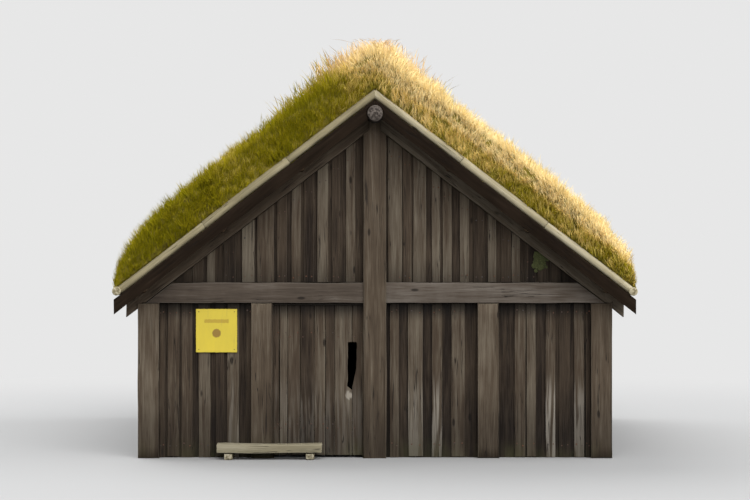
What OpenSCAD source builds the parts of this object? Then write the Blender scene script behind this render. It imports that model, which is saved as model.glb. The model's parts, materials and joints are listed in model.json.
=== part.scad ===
// Turf house: a timber-framed longhouse with boarded walls and a thick grass roof.
// The front gable faces -Y, the ridge runs along Y, and the ground is at Z = 0.

/* [House] */
// Spacing of the front posts, centre to centre, for each of the four bays
bay_w = 1360; // [1240:20:1500]
// Length of the house over its end posts
house_l = 7000; // [5600:100:8400]
// Number of bays along each side wall
side_bays = 5; // [4:1:6]
// Height of the walls up to the underside of the tie beams
wall_h = 1860; // [1760:10:2000]
// Slope of the roof in degrees
roof_pitch = 37.5; // [35:0.5:40]

/* [Posts and beams] */
// Width of the end wall posts, across the wall
post_w = 250; // [200:10:280]
// Depth of the end wall posts, into the house
post_d = 220; // [190:5:240]
// Width of the tenon that carries the ridge pole
tenon_w = 120; // [100:5:150]
// Height of the tie beams in the end walls
beam_h = 250; // [200:10:280]
// Setback of those beams behind the posts' outer face
beam_setback = 20; // [10:5:30]
// Depth of those beams, into the house
beam_d = 180; // [150:5:190]
// Height of the tie beams inside the house
inner_beam_h = 200; // [160:10:240]
// Thickness of the tie beams inside the house
inner_beam_t = 150; // [120:10:180]
// Width and depth of the side wall posts
side_post_w = 200; // [160:10:240]
// Width of the wall plates
plate_w = 200; // [180:10:240]
// Height of the wall plates
plate_h = 180; // [140:10:220]

/* [Roof frame] */
// Depth of a rafter, at right angles to the slope
rafter_d = 210; // [180:10:240]
// Thickness of a rafter
rafter_t = 120; // [90:5:140]
// Setback of the end rafters behind the posts' outer face
rafter_setback = 30; // [20:5:50]
// Drop of the rafters' underside below the wall plate's top, at the outer face of the wall
seat_drop = 60; // [40:5:80]
// Reach of the rafter tails beyond the wall
tail_out = 150; // [100:10:180]
// Number of purlins on each slope
purlins_a_side = 3; // [2:1:4]
// Diameter of the purlins
purlin_dia = 110; // [80:5:120]
// Diameter of the ridge pole
ridge_dia = 200; // [160:10:220]
// Reach of the ridge pole beyond the bargeboards
ridge_out = 30; // [20:5:60]
// Thickness of the roof boards
deck_t = 35; // [25:1:50]
// Reach of the roof boards beyond the side walls
eaves_out = 255; // [220:5:320]
// Reach of the roof boards beyond the end walls
verge_out = 300; // [220:10:400]
// Clearance between pieces that bear on each other along the slope
bearing_gap = 0.2; // [0.1:0.1:0.5]

/* [Roof edges] */
// Height of a bargeboard, at right angles to the slope
barge_h = 145; // [100:5:180]
// Thickness of a bargeboard
barge_t = 40; // [30:1:60]
// Thickness of the turf poles along the verges
pole_t = 95; // [75:1:110]
// Width of the turf poles
pole_w = 110; // [80:5:120]
// Number of turf poles laid end to end on each slope
poles_a_slope = 3; // [2:1:4]
// Step between the tops of two turf poles that meet
pole_step = 8; // [4:1:12]
// Reach of the turf poles beyond the bargeboards
pole_out = 10; // [5:1:20]
// Diameter of the eaves logs that hold the turf
eaves_log_dia = 110; // [90:5:130]
// Distance of an eaves log's middle from the edge of the roof boards
eaves_log_inset = 70; // [60:5:90]

/* [Turf] */
// Thickness of the turf and its standing grass, at right angles to the slope
turf_t = 520; // [450:10:620]
// Radius of the rounded crest
crest_r = 250; // [200:10:500]
// Distance from the ridge at which the turf starts to round down to the eaves
shoulder_x = 1950; // [1800:10:2100]
// Distance of the turf's steepest bend from the eaves log's middle
shoulder_in = 80; // [60:5:120]
// Reach of the grass beyond the edge of the roof boards at the end walls
turf_out = 30; // [10:5:40]
// Clearance of the turf over the turf poles
turf_clear = 10; // [9:1:15]

/* [Walls] */
// Setback of the boards behind the posts' outer face
board_setback = 100; // [80:5:120]
// Thickness of the boarding, two layers of boards
board_t = 50; // [40:2:60]

/* [Door] */
// Thickness of the door's boards
leaf_t = 30; // [25:1:40]
// Gap between the door and the post that carries it
hinge_gap = 8; // [8:1:12]
// Gap between the door and the centre post
latch_gap = 10; // [8:1:14]
// Gap over the door
head_gap = 10; // [8:1:14]
// Gap under the door
foot_gap = 30; // [15:5:60]
// Width of the hand slot
slot_w = 100; // [80:5:120]
// Height of the hand slot
slot_h = 590; // [400:10:700]
// Height of the slot's lower end over the ground
slot_z = 800; // [700:10:900]
// Distance of the slot from the door's closing edge
slot_in = 90; // [70:5:110]
// Width of the ledges across the door's back
ledge_w = 120; // [100:5:160]
// Thickness of the ledges
ledge_t = 30; // [25:1:40]
// Height of the lower hinge over the ground
low_hinge_z = 380; // [300:10:480]
// Distance of the upper hinge below the tie beam
high_hinge_drop = 380; // [300:10:480]
// Length of a strap hinge
strap_l = 700; // [500:10:900]
// Height of a strap hinge
strap_w = 50; // [40:2:60]
// Thickness of a strap hinge
strap_t = 6; // [5:1:8]
// Diameter of the hinge pins
pin_dia = 16; // [12:1:18]
// Distance of the pins from the face of the post that carries the door
pin_out = 30; // [28:1:36]
// Radial clearance of the pins in the eyes
pin_clear = 0.3; // [0.2:0.1:0.5]
// Width of the stop battens
stop_w = 25; // [20:1:30]
// Depth of the stop battens
stop_d = 25; // [20:1:30]
// Clearance between the stop battens and the door
stop_clear = 5; // [5:1:8]

/* [Sign and doorstep] */
// Width of the sign
sign_w = 497; // [400:10:600]
// Height of the sign
sign_h = 524; // [400:10:600]
// Thickness of the sign
sign_t = 20; // [12:1:30]
// Distance of the sign's upper edge below the tie beam
sign_drop = 69; // [30:1:300]
// Distance of the sign's middle from the corner of the house
sign_in = 938; // [800:10:960]
// Length of the doorstep plank
step_l = 1260; // [1000:10:1300]
// Width of the doorstep plank
step_w = 260; // [200:10:280]
// Thickness of the doorstep plank
step_t = 110; // [60:5:130]
// Height of the bearers under the plank
bearer_h = 80; // [50:5:100]
// Width of the bearers
bearer_w = 110; // [80:5:140]
// Distance of each bearer from its end of the plank
bearer_in = 90; // [60:5:150]
// Distance of the plank's right end from the middle of the house
step_in = 630; // [560:10:700]

/* [Hidden] */

$fn = 48;
hair = 1; // joint between two stop battens, and on each side of the ridge line
butt = 4; // joint between two turf poles laid end to end
steps = 12; // straight steps in each rounded stretch of the turf

hewn = [0.36, 0.31, 0.26];
dark_board = [0.27, 0.24, 0.20];
pale_wood = [0.55, 0.51, 0.44];
grass_tone = [0.45, 0.42, 0.16];
iron = [0.22, 0.20, 0.19];
sign_tone = [0.81, 0.72, 0.27];

// Walls
half_w = 2 * bay_w + post_w / 2;
half_l = house_l / 2;
plate_in = half_w - plate_w;
frame_pitch = (house_l - post_d) / side_bays;

// Roof planes, as heights at the ridge line
run = tan(roof_pitch);
under_peak = wall_h - seat_drop + run * half_w;
deck_peak = under_peak + (rafter_d + deck_t) / cos(roof_pitch);
seat_peak = under_peak - bearing_gap / cos(roof_pitch);
ridge_z = deck_peak - (deck_t + ridge_dia / 2) / cos(roof_pitch);
deck_x = half_w + eaves_out;
deck_y = half_l + verge_out;
ridge_y = deck_y + barge_t + ridge_out;
pole_y = -deck_y - barge_t - pole_out;

// Eaves log and turf profile
log_r = eaves_log_dia / 2;
log_foot_x = deck_x - eaves_log_inset;
log_at = on_roof(log_foot_x, log_r + bearing_gap);
log_lip = 30; // angle up the log at which the turf meets it
crest_z = height(0, turf_t) - crest_r / cos(roof_pitch);
turf_y = deck_y + turf_out;
turf_foot_gap = 1.3; // reach of the hollow beside the log, in log radii

// Door
door_left = -bay_w + post_w / 2;
door_right = -post_w / 2;
leaf_left = door_left + hinge_gap;
leaf_right = door_right - latch_gap;
leaf_y = -half_l + board_setback;
ledge_y = leaf_y + leaf_t;
strap_y = ledge_y + ledge_t;
eye_r = pin_dia / 2 + strap_t;
pin_x = door_left + pin_out;
pin_y = strap_y + strap_t * 2;
hinge_zs = [low_hinge_z, wall_h - high_hinge_drop];
strap_bite = 1; // overlap of a strap with its eye, clear of the bore
seat_clear = 0.3; // clearance between an eye and the shoulder it turns on
ledge_clear = 6; // clearance between a ledge and the eye of its strap
ledge_in = 30; // distance of the ledges' free ends from the closing edge
shoulder_t = 16; // thickness of a pintle's arm
pintle_plate = [6, 50, 86]; // plate against the post
pin_over = 10; // reach of a pin over its eye

// Height of the roof plane that lies n above the roof boards, at distance x from the ridge line
function height(x, n) = deck_peak - run * abs(x) + n / cos(roof_pitch);

// Point n above the roof boards, square to the slope from the point at distance x
function on_roof(x, n) = [x + n * sin(roof_pitch), height(x, 0) + n * cos(roof_pitch)];

// Distance from the ridge line at which what bears the rafters has the height z
function under_x(z) = (seat_peak - z) / run;

// Height of what bears the rafters, at distance x from the ridge line
function under_z(x) = seat_peak - run * abs(x);

// Point at t on the curve that leaves a for b and ends at c
function bend(a, b, c, t) = (1 - t) * (1 - t) * a + 2 * t * (1 - t) * b + t * t * c;

// Middle of the frame i along the house, counted from the front
function frame_y(i) = -half_l + post_d / 2 + i * frame_pitch;

// Distance of purlin i from the ridge line
function purlin_x(i) = half_w * (i + 1) / purlins_a_side;

// Ends of turf pole i along the slope, as distances from the ridge line
function pole_end(i) = hair + (log_at[0] - log_r - butt - hair) * i / poles_a_slope;

// Extrudes an outline drawn in X and Z from y0 to y1
module along_y(y0, y1) {
    translate([0, y1, 0]) rotate([90, 0, 0]) linear_extrude(y1 - y0) children();
}

// Box between two corners
module block(low, high) {
    translate(low) cube(high - low);
}

// A child and its mirror image across the ridge line
module both_sides() {
    children();
    mirror([1, 0, 0]) children();
}

// Turns a piece of the front end to the back end
module at_back() {
    rotate([0, 0, 180]) children();
}

// Outline of a band of the roof from x0 to x1, between n0 and n1 above the roof boards
module roof_band(x0, x1, n0, n1) {
    polygon([[x0, height(x0, n0)], [x1, height(x1, n0)], [x1, height(x1, n1)], [x0, height(x0, n1)]]);
}

// Outline of the seat cut for the ridge pole
module ridge_seat() {
    translate([0, ridge_z]) {
        circle(d = ridge_dia);
        translate([-ridge_dia / 2, 0]) square([ridge_dia, ridge_dia * 2]);
    }
}

// Outline of the trenches cut for the purlins
module purlin_trenches() {
    for (i = [0:purlins_a_side - 1])
        translate(on_roof(purlin_x(i), -deck_t - purlin_dia / 2)) rotate(-roof_pitch) {
            circle(r = purlin_dia / 2 + bearing_gap);
            translate([-purlin_dia / 2 - bearing_gap, 0])
                square([purlin_dia + 2 * bearing_gap, purlin_dia]);
        }
}

// Outline of one rafter, cut over the wall plate, for the purlins and for the ridge pole
module rafter_outline(from_x) {
    difference() {
        roof_band(from_x, half_w + tail_out, -deck_t - rafter_d, -deck_t - bearing_gap);
        translate([plate_in, 0]) square([plate_w, wall_h]);
        purlin_trenches();
        ridge_seat();
    }
}

// End wall pieces, drawn for the front
module corner_post() {
    block([half_w - post_w, -half_l, 0], [half_w, -half_l + post_d, wall_h]);
}

module inner_post() {
    block([bay_w - post_w / 2, -half_l, 0], [bay_w + post_w / 2, -half_l + post_d, wall_h]);
}

module centre_post() {
    e = post_w / 2;
    t = tenon_w / 2;
    along_y(-half_l, -half_l + post_d) difference() {
        polygon([
            [-e, 0], [e, 0], [e, under_z(e)], [t, under_z(t)],
            [t, ridge_z], [-t, ridge_z], [-t, under_z(t)], [-e, under_z(e)]
        ]);
        ridge_seat();
    }
}

module tie_beam() {
    top = wall_h + beam_h;
    along_y(-half_l + beam_setback, -half_l + beam_setback + beam_d)
        polygon([[post_w / 2, wall_h], [under_x(wall_h), wall_h], [under_x(top), top], [post_w / 2, top]]);
}

module end_rafter() {
    along_y(-half_l + rafter_setback, -half_l + rafter_setback + rafter_t) rafter_outline(tenon_w / 2);
}

// Boards that fill bay n, where bay 1 stands right of the centre post and bay 2 at the corner
module bay_boards(n) {
    low = (n - 1) * bay_w + post_w / 2;
    block([low, leaf_y, 0], [low + bay_w - post_w, leaf_y + board_t, wall_h]);
}

module gable_boards() {
    base = wall_h + beam_h;
    along_y(leaf_y, leaf_y + board_t)
        polygon([[post_w / 2, base], [under_x(base), base], [post_w / 2, under_z(post_w / 2)]]);
}

module bargeboard() {
    along_y(-deck_y - barge_t, -deck_y) difference() {
        roof_band(hair, deck_x, -barge_h, -bearing_gap);
        translate([0, ridge_z]) circle(d = ridge_dia);
    }
}

module verge_poles() {
    for (i = [0:poles_a_slope - 1])
        along_y(pole_y, pole_y + pole_w)
            roof_band(pole_end(i), pole_end(i + 1) - butt, bearing_gap,
                pole_t + (i % 2 == 0 ? 0 : pole_step));
}

// Side wall pieces, drawn for the right side
module side_posts() {
    for (i = [1:side_bays - 1])
        translate([half_w - side_post_w, frame_y(i) - side_post_w / 2, 0])
            cube([side_post_w, side_post_w, wall_h - plate_h]);
}

module wall_plate() {
    block([plate_in, -half_l + post_d, wall_h - plate_h], [half_w, half_l - post_d, wall_h]);
}

// Half of the post's size along the wall, at frame i
function post_half(i) = (i == 0 || i == side_bays) ? post_d / 2 : side_post_w / 2;

module side_boards() {
    out = half_w - board_setback;
    for (i = [0:side_bays - 1])
        block([out - board_t, frame_y(i) + post_half(i), 0],
            [out, frame_y(i + 1) - post_half(i + 1), wall_h - plate_h]);
}

// Roof covering, drawn for the right side
module roof_boards() {
    along_y(-deck_y, deck_y) roof_band(0, deck_x, -deck_t, 0);
}

module eaves_log(clear = 0) {
    translate([log_at[0], -ridge_y, log_at[1]]) rotate([-90, 0, 0])
        cylinder(r = log_r + clear, h = 2 * ridge_y);
}

// Outline of the turf: round crest, straight slope, shoulder rounded down to the eaves log
module turf_outline() {
    crest = [for (i = [0:steps]) let (a = 90 - roof_pitch * i / steps)
        [crest_r * cos(a), crest_z + crest_r * sin(a)]];
    start = [shoulder_x, height(shoulder_x, turf_t)];
    turn_x = log_at[0] - shoulder_in;
    lip = log_at + log_r * [cos(log_lip), sin(log_lip)];
    shoulder = [for (i = [0:steps]) bend(start, [turn_x, height(turn_x, turf_t)], lip, i / steps)];
    foot_x = log_foot_x - turf_foot_gap * log_r;
    polygon(concat([[0, height(0, bearing_gap)]], crest, shoulder,
        [log_at, [foot_x, height(foot_x, bearing_gap)]]));
}

module turf() {
    difference() {
        along_y(-turf_y, turf_y) turf_outline();
        eaves_log(bearing_gap);
        for (low = [pole_y, -pole_y - pole_w])
            along_y(low, low + pole_w) roof_band(-hair, deck_x + pole_w, -deck_t, pole_t + turf_clear);
    }
}

// Door pieces
module strap(z) {
    difference() {
        union() {
            translate([pin_x, pin_y, z - strap_w / 2]) cylinder(r = eye_r, h = strap_w);
            block([pin_x + eye_r - strap_t + strap_bite, strap_y, z - strap_w / 2],
                [pin_x + strap_l, strap_y + strap_t, z + strap_w / 2]);
        }
        translate([pin_x, pin_y, z - strap_w]) cylinder(r = pin_dia / 2 + pin_clear, h = 2 * strap_w);
    }
}

module pintle(z) {
    seat = z - strap_w / 2 - seat_clear;
    arm = pin_dia / 2;
    block([door_left, pin_y - pintle_plate[1] / 2, seat - pintle_plate[2]],
        [door_left + pintle_plate[0], pin_y + pintle_plate[1] / 2, seat]);
    block([door_left, pin_y - arm, seat - shoulder_t], [pin_x + arm, pin_y + arm, seat]);
    translate([pin_x, pin_y, seat - shoulder_t])
        cylinder(d = pin_dia, h = shoulder_t + seat_clear + strap_w + pin_over);
}

module front_corner_posts() {
    color(hewn) both_sides() corner_post();
}

module front_inner_posts() {
    color(hewn) both_sides() inner_post();
}

module front_centre_post() {
    color(hewn) centre_post();
}

module front_left_tie_beam() {
    color(hewn) mirror([1, 0, 0]) tie_beam();
}

module front_right_tie_beam() {
    color(hewn) tie_beam();
}

module front_rafters() {
    color(hewn) both_sides() end_rafter();
}

module front_left_outer_boards() {
    color(dark_board) mirror([1, 0, 0]) bay_boards(2);
}

module front_right_inner_boards() {
    color(dark_board) bay_boards(1);
}

module front_right_outer_boards() {
    color(dark_board) bay_boards(2);
}

module front_gable_boards() {
    color(dark_board) both_sides() gable_boards();
}

module door_leaf() {
    color(dark_board) difference() {
        block([leaf_left, leaf_y, foot_gap], [leaf_right, leaf_y + leaf_t, wall_h - head_gap]);
        translate([leaf_right - slot_in - slot_w, leaf_y - leaf_t, slot_z])
            cube([slot_w, leaf_t * 3, slot_h]);
    }
}

module door_ledges() {
    color(dark_board) for (z = hinge_zs)
        block([pin_x + eye_r + ledge_clear, ledge_y, z - ledge_w / 2],
            [leaf_right - ledge_in, ledge_y + ledge_t, z + ledge_w / 2]);
}

module door_straps() {
    color(iron) for (z = hinge_zs) strap(z);
}

module door_pintles() {
    color(iron) for (z = hinge_zs) pintle(z);
}

module door_stops() {
    back = leaf_y - stop_clear;
    head_z = wall_h - stop_w;
    color(dark_board) {
        block([door_left, back - stop_d, head_z], [door_right, back, wall_h]);
        for (x = [door_left, door_right - stop_w])
            block([x, back - stop_d, 0], [x + stop_w, back, head_z - hair]);
    }
}

module sign_plate() {
    mid = -half_w + sign_in;
    top = wall_h - sign_drop;
    color(sign_tone)
        block([mid - sign_w / 2, leaf_y - sign_t, top - sign_h], [mid + sign_w / 2, leaf_y, top]);
}

module doorstep_plank() {
    color(pale_wood) block([-step_in - step_l, -half_l - step_w, bearer_h],
        [-step_in, -half_l, bearer_h + step_t]);
}

module doorstep_bearers() {
    left = -step_in - step_l + bearer_in;
    right = -step_in - bearer_in - bearer_w;
    color(pale_wood) for (x = [left, right])
        block([x, -half_l - step_w, 0], [x + bearer_w, -half_l, bearer_h]);
}

module back_corner_posts() {
    color(hewn) at_back() both_sides() corner_post();
}

module back_inner_posts() {
    color(hewn) at_back() both_sides() inner_post();
}

module back_centre_post() {
    color(hewn) at_back() centre_post();
}

module back_tie_beams() {
    color(hewn) at_back() both_sides() tie_beam();
}

module back_rafters() {
    color(hewn) at_back() both_sides() end_rafter();
}

module back_wall_boards() {
    color(dark_board) at_back() both_sides() for (n = [1, 2]) bay_boards(n);
}

module back_gable_boards() {
    color(dark_board) at_back() both_sides() gable_boards();
}

module left_wall_plate() {
    color(hewn) mirror([1, 0, 0]) wall_plate();
}

module right_wall_plate() {
    color(hewn) wall_plate();
}

module left_side_posts() {
    color(hewn) mirror([1, 0, 0]) side_posts();
}

module right_side_posts() {
    color(hewn) side_posts();
}

module left_wall_boards() {
    color(dark_board) mirror([1, 0, 0]) side_boards();
}

module right_wall_boards() {
    color(dark_board) side_boards();
}

module ridge_pole() {
    color(pale_wood) translate([0, -ridge_y, ridge_z]) rotate([-90, 0, 0])
        cylinder(d = ridge_dia, h = 2 * ridge_y);
}

module purlins() {
    color(pale_wood) both_sides() for (i = [0:purlins_a_side - 1])
        along_y(-deck_y, deck_y)
            translate(on_roof(purlin_x(i), -deck_t - purlin_dia / 2)) circle(d = purlin_dia);
}

module inner_rafters() {
    color(hewn) both_sides() for (i = [1:side_bays - 1])
        along_y(frame_y(i) - rafter_t / 2, frame_y(i) + rafter_t / 2) rafter_outline(hair);
}

module inner_tie_beams() {
    top = wall_h + inner_beam_h;
    color(hewn) for (i = [1:side_bays - 1])
        along_y(frame_y(i) - inner_beam_t / 2, frame_y(i) + inner_beam_t / 2)
            polygon([
                [-under_x(wall_h), wall_h], [under_x(wall_h), wall_h],
                [under_x(top), top], [-under_x(top), top]
            ]);
}

module left_roof_boards() {
    color(pale_wood) mirror([1, 0, 0]) roof_boards();
}

module right_roof_boards() {
    color(pale_wood) roof_boards();
}

module left_turf() {
    color(grass_tone) mirror([1, 0, 0]) turf();
}

module right_turf() {
    color(grass_tone) turf();
}

module eaves_logs() {
    color(pale_wood) both_sides() eaves_log();
}

module front_bargeboards() {
    color(dark_board) both_sides() bargeboard();
}

module back_bargeboards() {
    color(dark_board) at_back() both_sides() bargeboard();
}

module front_verge_poles() {
    color(pale_wood) both_sides() verge_poles();
}

module back_verge_poles() {
    color(pale_wood) at_back() both_sides() verge_poles();
}

front_corner_posts();
front_inner_posts();
front_centre_post();
front_left_tie_beam();
front_right_tie_beam();
front_rafters();
front_left_outer_boards();
front_right_inner_boards();
front_right_outer_boards();
front_gable_boards();
door_leaf();
door_ledges();
door_straps();
door_pintles();
door_stops();
sign_plate();
doorstep_plank();
doorstep_bearers();
back_corner_posts();
back_inner_posts();
back_centre_post();
back_tie_beams();
back_rafters();
back_wall_boards();
back_gable_boards();
left_wall_plate();
right_wall_plate();
left_side_posts();
right_side_posts();
left_wall_boards();
right_wall_boards();
ridge_pole();
purlins();
inner_rafters();
inner_tie_beams();
left_roof_boards();
right_roof_boards();
left_turf();
right_turf();
eaves_logs();
front_bargeboards();
back_bargeboards();
front_verge_poles();
back_verge_poles();
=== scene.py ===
"""Turf house: a hewn timber frame, board-on-board walls and a thick roof of turf with standing grass.

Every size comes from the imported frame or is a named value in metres. The front gable faces -Y, the
ridge runs along Y and the ground is at Z = 0. Each piece of wood is worked in its own axes, with its
length along Y, its width along X and its outer face up, and is then turned into place, so that the
grain follows the length of every board, beam and log.
"""

import functools
import json
import logging
import math
import random
from dataclasses import dataclass, field
from enum import Enum
from typing import Callable, Iterable, Optional, Sequence

import bmesh
import bpy
import numpy as np
from mathutils import Matrix, Vector, noise

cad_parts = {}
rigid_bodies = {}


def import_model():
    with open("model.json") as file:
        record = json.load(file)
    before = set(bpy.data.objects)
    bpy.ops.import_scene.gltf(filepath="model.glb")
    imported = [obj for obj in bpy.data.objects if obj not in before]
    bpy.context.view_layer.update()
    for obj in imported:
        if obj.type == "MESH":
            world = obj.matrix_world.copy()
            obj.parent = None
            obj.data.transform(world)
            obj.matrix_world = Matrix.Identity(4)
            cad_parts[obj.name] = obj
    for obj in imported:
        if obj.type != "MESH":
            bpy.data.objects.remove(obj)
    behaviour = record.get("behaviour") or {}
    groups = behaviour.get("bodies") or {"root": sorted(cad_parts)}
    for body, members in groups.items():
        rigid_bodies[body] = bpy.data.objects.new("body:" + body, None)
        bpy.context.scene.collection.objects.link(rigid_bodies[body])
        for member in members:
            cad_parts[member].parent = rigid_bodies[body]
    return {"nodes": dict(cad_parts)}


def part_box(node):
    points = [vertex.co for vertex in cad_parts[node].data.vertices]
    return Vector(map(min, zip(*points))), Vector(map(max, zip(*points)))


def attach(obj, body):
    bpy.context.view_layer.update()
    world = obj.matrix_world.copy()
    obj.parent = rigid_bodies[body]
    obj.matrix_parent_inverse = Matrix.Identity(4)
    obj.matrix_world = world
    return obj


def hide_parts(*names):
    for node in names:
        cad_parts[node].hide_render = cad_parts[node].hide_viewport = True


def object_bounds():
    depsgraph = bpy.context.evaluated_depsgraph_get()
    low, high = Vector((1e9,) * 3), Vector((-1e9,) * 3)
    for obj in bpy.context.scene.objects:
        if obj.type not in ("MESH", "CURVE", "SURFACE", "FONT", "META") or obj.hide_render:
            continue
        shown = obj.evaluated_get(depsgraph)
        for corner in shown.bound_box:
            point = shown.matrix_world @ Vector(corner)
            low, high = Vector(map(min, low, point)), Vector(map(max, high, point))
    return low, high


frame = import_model()
cad_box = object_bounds()

log = logging.getLogger("turf_house")

Rgb = tuple[float, float, float]
Shape = bmesh.types.BMesh
Socket = bpy.types.NodeSocket

HOUSE = "house"
DOOR = "door"

CUT_REACH = 1e-5  # a cut runs through the points that are this near to it
WELD_REACH = 1e-4  # points that are this near to each other are one
LEVEL_ANGLE = math.radians(0.6)  # faces that turn by less than this are one

WHITE: Rgb = (1.0, 1.0, 1.0)
X_AXIS, Y_AXIS, Z_AXIS = (Vector(row) for row in Matrix.Identity(3))


class Side(Enum):
    """Slope or side wall of the house, seen from the front. The value is the sign of its X."""

    LEFT = -1
    RIGHT = 1

    @classmethod
    def of(cls, place: Vector) -> "Side":
        """Returns the side that a place is on."""
        return cls.RIGHT if place.x > 0 else cls.LEFT


class End(Enum):
    """Gable end of the house. The value is the sign of its Y."""

    FRONT = -1
    BACK = 1


class Layer(Enum):
    """Attributes that every worked piece of wood carries for its finish."""

    GRAIN = "grain"
    TONE = "tone"
    EDGE = "edge"
    END = "end"
    BLEACH = "bleach"


class Nodes:
    """Node tree, with short calls to fill it."""

    def __init__(self, tree: bpy.types.NodeTree) -> None:
        """Keeps the tree that it fills."""
        self.tree = tree

    def feed(self, socket: Socket, value: object) -> None:
        """Links a socket, or sets its constant.

        Args:
            socket: Input to fill.
            value: Output socket of another node, a number, a vector or a colour.
        """
        if isinstance(value, bpy.types.NodeSocket):
            self.tree.links.new(value, socket)
        elif socket.type == "RGBA":
            socket.default_value = (*value, 1.0)
        else:
            socket.default_value = value

    def node(self, kind: str, inputs: Optional[dict] = None, **settings: object) -> bpy.types.Node:
        """Adds a node.

        Args:
            kind: Type of the node, which may lack its ShaderNode prefix.
            inputs: Values of its inputs, by name or index.
            **settings: Properties of the node.

        Returns:
            The new node.
        """
        made = self.tree.nodes.new(kind if "Node" in kind else "ShaderNode" + kind)
        for name, value in settings.items():
            setattr(made, name, value)
        for key, value in (inputs or {}).items():
            self.feed(made.inputs[key], value)
        return made

    def math(self, operation: str, a: object, b: object = 0.0, clamp: bool = False) -> Socket:
        """Returns the result of one operation on two numbers."""
        return self.node("Math", {0: a, 1: b}, operation=operation, use_clamp=clamp).outputs["Value"]

    def plus(self, a: object, b: object) -> Socket:
        """Returns the sum of two numbers."""
        return self.math("ADD", a, b)

    def minus(self, a: object, b: object) -> Socket:
        """Returns the first number less the second."""
        return self.math("SUBTRACT", a, b)

    def times(self, a: object, b: object) -> Socket:
        """Returns the product of two numbers."""
        return self.math("MULTIPLY", a, b)

    def total(self, *parts: tuple[Socket, float]) -> Socket:
        """Returns the sum of numbers, each times its weight."""
        return functools.reduce(self.plus, [self.times(*part) for part in parts])

    def arrows(self, operation: str, a: object, b: object) -> Socket:
        """Returns the vector that one operation gives for two vectors."""
        return self.node("VectorMath", {0: a, 1: b}, operation=operation).outputs["Vector"]

    def length(self, vector: Socket) -> Socket:
        """Returns the length of a vector."""
        return self.node("VectorMath", {0: vector}, operation="LENGTH").outputs["Value"]

    def axes(self, vector: Socket) -> Sequence[Socket]:
        """Returns the X, Y and Z of a vector, by name."""
        return self.node("SeparateXYZ", {0: vector}).outputs

    def seen(self) -> Socket:
        """Tells the rays that show a surface from those that only light others.

        Returns:
            1 for rays from the camera, off gloss or through glass, and 0 for the rest.
        """
        path = self.node("LightPath").outputs
        total = path["Is Camera Ray"]
        for name in ("Is Glossy Ray", "Is Transmission Ray"):
            total = self.math("ADD", total, path[name], clamp=True)
        return total

    def surface(self, output: str, shown: Socket, behind: Socket, share: Socket) -> None:
        """Feeds the surface of the tree's output with one shader that gives way to another.

        Args:
            output: Name of the output node.
            shown: Shader that shows at a share of 0.
            behind: Shader that shows at a share of 1.
            share: Share of the second shader.
        """
        mixed = self.node("MixShader", {0: share, 1: shown, 2: behind})
        self.feed(self.tree.nodes[output].inputs["Surface"], mixed.outputs[0])


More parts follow.
